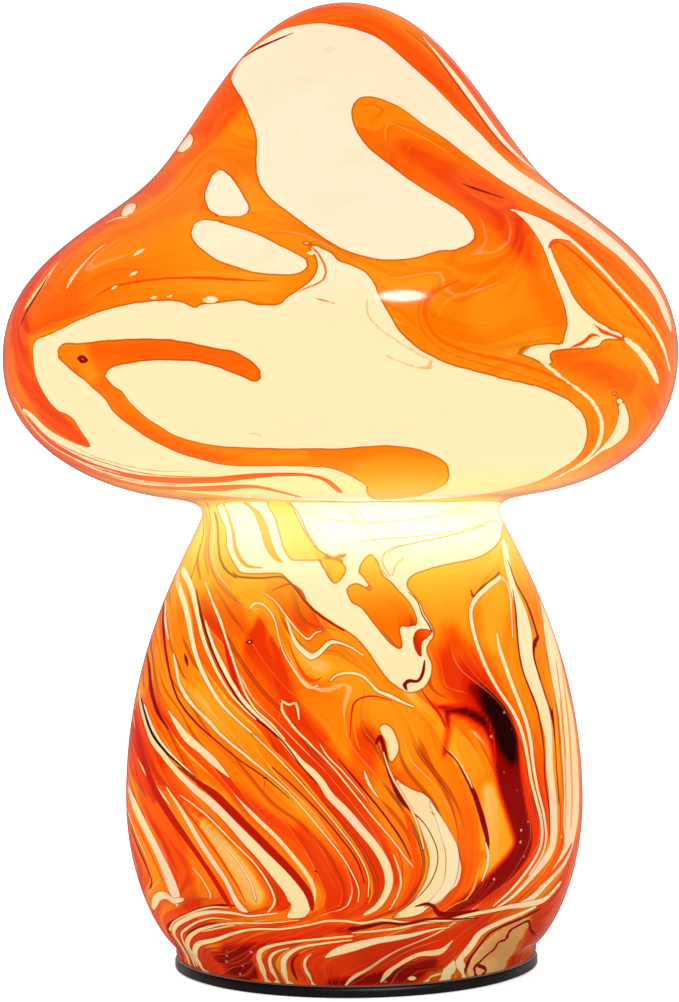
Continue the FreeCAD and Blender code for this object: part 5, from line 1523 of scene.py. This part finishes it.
def make_skirt_ribs(finish, blocks):
    ribs = grown("holder_skirt_ribs", blocks, finish, Count=30, Radius=13.3, Width=0.9, Depth=0.9,
                 Corner=0.3, Bottom=58.4, Top=77.8)
    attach(ribs, "base")


def make_led_packages(case, gel, blocks):
    for ring, count, radius in (("outer", 12, 9.4), ("inner", 6, 4.6)):
        for name, finish, width, depth, top in (("case", case, 3.0, 2.8, 98.75),
                                                ("gel", gel, 2.3, 2.1, 98.82)):
            piece = grown(f"led_{name}_{ring}", blocks, finish, Count=count, Radius=radius,
                          Width=width, Depth=depth, Corner=0.4, Bottom=98.1, Top=top)
            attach(piece, "bulb")


def make_small_pieces(finishes):
    thread, blocks = helical_thread(), ring_of_blocks()
    make_tube_and_thread(finishes["zinc_plate"], thread)
    make_bulb_cap_and_thread(finishes["nickel_plate"], thread)
    make_skirt_ribs(finishes["black_thermoplastic"], blocks)
    make_led_packages(finishes["white_thermoplastic"], phosphor_gel(), blocks)


# Scene. From here sizes are in metres, apart from the camera's.

SENSOR = 36.0
SWEEP_WIDTH, SWEEP_FRONT, SWEEP_BACK, SWEEP_BEND, SWEEP_HEIGHT = 4.0, -1.6, 1.6, 0.6, 3.0
SWEEP_STEPS = 12
SWEEP_GLOW = 0.58
AIR_GLOW = 0.75

# The bright patch on the cap, and how far off in millimetres the softbox that it mirrors stands
HIGHLIGHT_PIXEL = (402, 296)
SOFTBOX_DISTANCE = 600
SOFTBOX_SIZE, SOFTBOX_POWER = (0.16, 0.10), 16.0
KEY_PLACE, KEY_TARGET, KEY_SIZE, KEY_POWER = (-0.55, -0.6, 0.75), (0, 0, 0.1), (0.5, 0.5), 2.2
# The flag's place on the way from softbox to cap, and its edges from there
FLAG_SHARE, FLAG_TOP, FLAG_BOTTOM, FLAG_HALF = 0.85, 0.0145, 0.058, 0.06


def make_camera():
    camera_data = bpy.data.cameras.new("photo_camera")
    camera = bpy.data.objects.new("photo_camera", camera_data)
    bpy.context.scene.collection.objects.link(camera)
    camera_data.sensor_width = SENSOR
    camera_data.lens = FOCAL_PIXELS * SENSOR / PHOTO_HEIGHT
    camera_data.clip_start, camera_data.clip_end = 0.01, 20
    turn = Matrix([Vector(RIGHT), Vector(UP), Vector(-AHEAD)]).transposed().to_4x4()
    camera.matrix_world = Matrix.Translation(Vector(CAMERA_PLACE * MM)) @ turn
    bpy.context.scene.camera = camera


def make_floor():
    """A white sweep: floor and backdrop in one curved sheet."""
    side = [(SWEEP_FRONT, 0.0)]
    for k in range(SWEEP_STEPS + 1):
        angle = math.pi / 2 * k / SWEEP_STEPS
        side.append((SWEEP_BACK - SWEEP_BEND + SWEEP_BEND * math.sin(angle),
                     SWEEP_BEND * (1 - math.cos(angle))))
    side.append((SWEEP_BACK, SWEEP_HEIGHT))
    places = [(x, y, z) for y, z in side for x in (-SWEEP_WIDTH / 2, SWEEP_WIDTH / 2)]
    faces = [(2 * k, 2 * k + 1, 2 * k + 3, 2 * k + 2) for k in range(len(side) - 1)]
    mesh = bpy.data.meshes.new("white_sweep")
    mesh.from_pydata(places, [], faces)
    mesh.polygons.foreach_set("use_smooth", np.ones(len(faces), bool))
    shader = Shader("white_sweep_paper")
    colour = shader.mix(shader.noise(3), (250, 250, 250), (255, 255, 255))
    placed("white_sweep", mesh, shader.set(
        Base_Color=colour, Roughness=0.9, Emission_Color=colour, Emission_Strength=SWEEP_GLOW))


def area_light(name, place, target, size, power):
    data = bpy.data.lights.new(name, "AREA")
    data.shape = "ELLIPSE"
    data.size, data.size_y = size
    data.energy = power
    light = bpy.data.objects.new(name, data)
    light.location = place
    light.rotation_mode = "QUATERNION"
    light.rotation_quaternion = (Vector(target) - Vector(place)).to_track_quat("-Z", "Y")
    bpy.context.scene.collection.objects.link(light)
    return light


def highlight_place():
    """Where a softbox stands so that the cap mirrors it at the highlight, and the spot it is
    mirrored at."""
    angle, length, facing = (float(values[0]) for values in on_glass([HIGHLIGHT_PIXEL]))
    r, z, slope_out, slope_up = (float(at_length(length, values)) for values in (
        OUTER_RADIUS, OUTER_HEIGHT, SLOPE_OUT, SLOPE_UP))
    spot = np.array([r * math.sin(angle) + float(sway(z)), -r * math.cos(angle), z])
    normal = np.array([slope_up * math.sin(angle), -slope_up * math.cos(angle), -slope_out])
    sight = spot - CAMERA_PLACE
    sight /= np.linalg.norm(sight)
    mirrored = sight - 2 * sight.dot(normal) * normal
    return (spot + mirrored * SOFTBOX_DISTANCE) * MM, spot * MM


def make_flag(light_place, spot):
    """A black card that keeps the softbox off the stem, and isn't seen itself."""
    mid = Vector(light_place).lerp(Vector(spot), FLAG_SHARE)
    mesh = bpy.data.meshes.new("flag_card")
    mesh.from_pydata([(mid.x + side * FLAG_HALF, mid.y, mid.z - drop) for side, drop in (
        (-1, FLAG_BOTTOM), (1, FLAG_BOTTOM), (1, FLAG_TOP), (-1, FLAG_TOP))], [], [(0, 1, 2, 3)])
    shader = Shader("flag_card_felt")
    card = placed("flag_card", mesh, shader.set(
        Base_Color=shader.mix(shader.noise(40), (6, 6, 6), (10, 10, 10)), Roughness=1.0))
    card.visible_camera = False
    card.visible_diffuse = False


def make_lights():
    place, spot = highlight_place()
    area_light("softbox", place, spot, SOFTBOX_SIZE, SOFTBOX_POWER).visible_diffuse = False
    area_light("key", KEY_PLACE, KEY_TARGET, KEY_SIZE, KEY_POWER).visible_glossy = False
    make_flag(place, spot)
    world = bpy.data.worlds.new("studio_air")
    world.use_nodes = True
    background = world.node_tree.nodes["Background"]
    background.inputs["Color"].default_value = (1, 1, 1, 1)
    background.inputs["Strength"].default_value = AIR_GLOW
    bpy.context.scene.world = world
    bpy.context.scene.view_settings.view_transform = "Standard"


make_glass()
make_small_pieces(finish_frame())
make_camera()
make_floor()
make_lights()
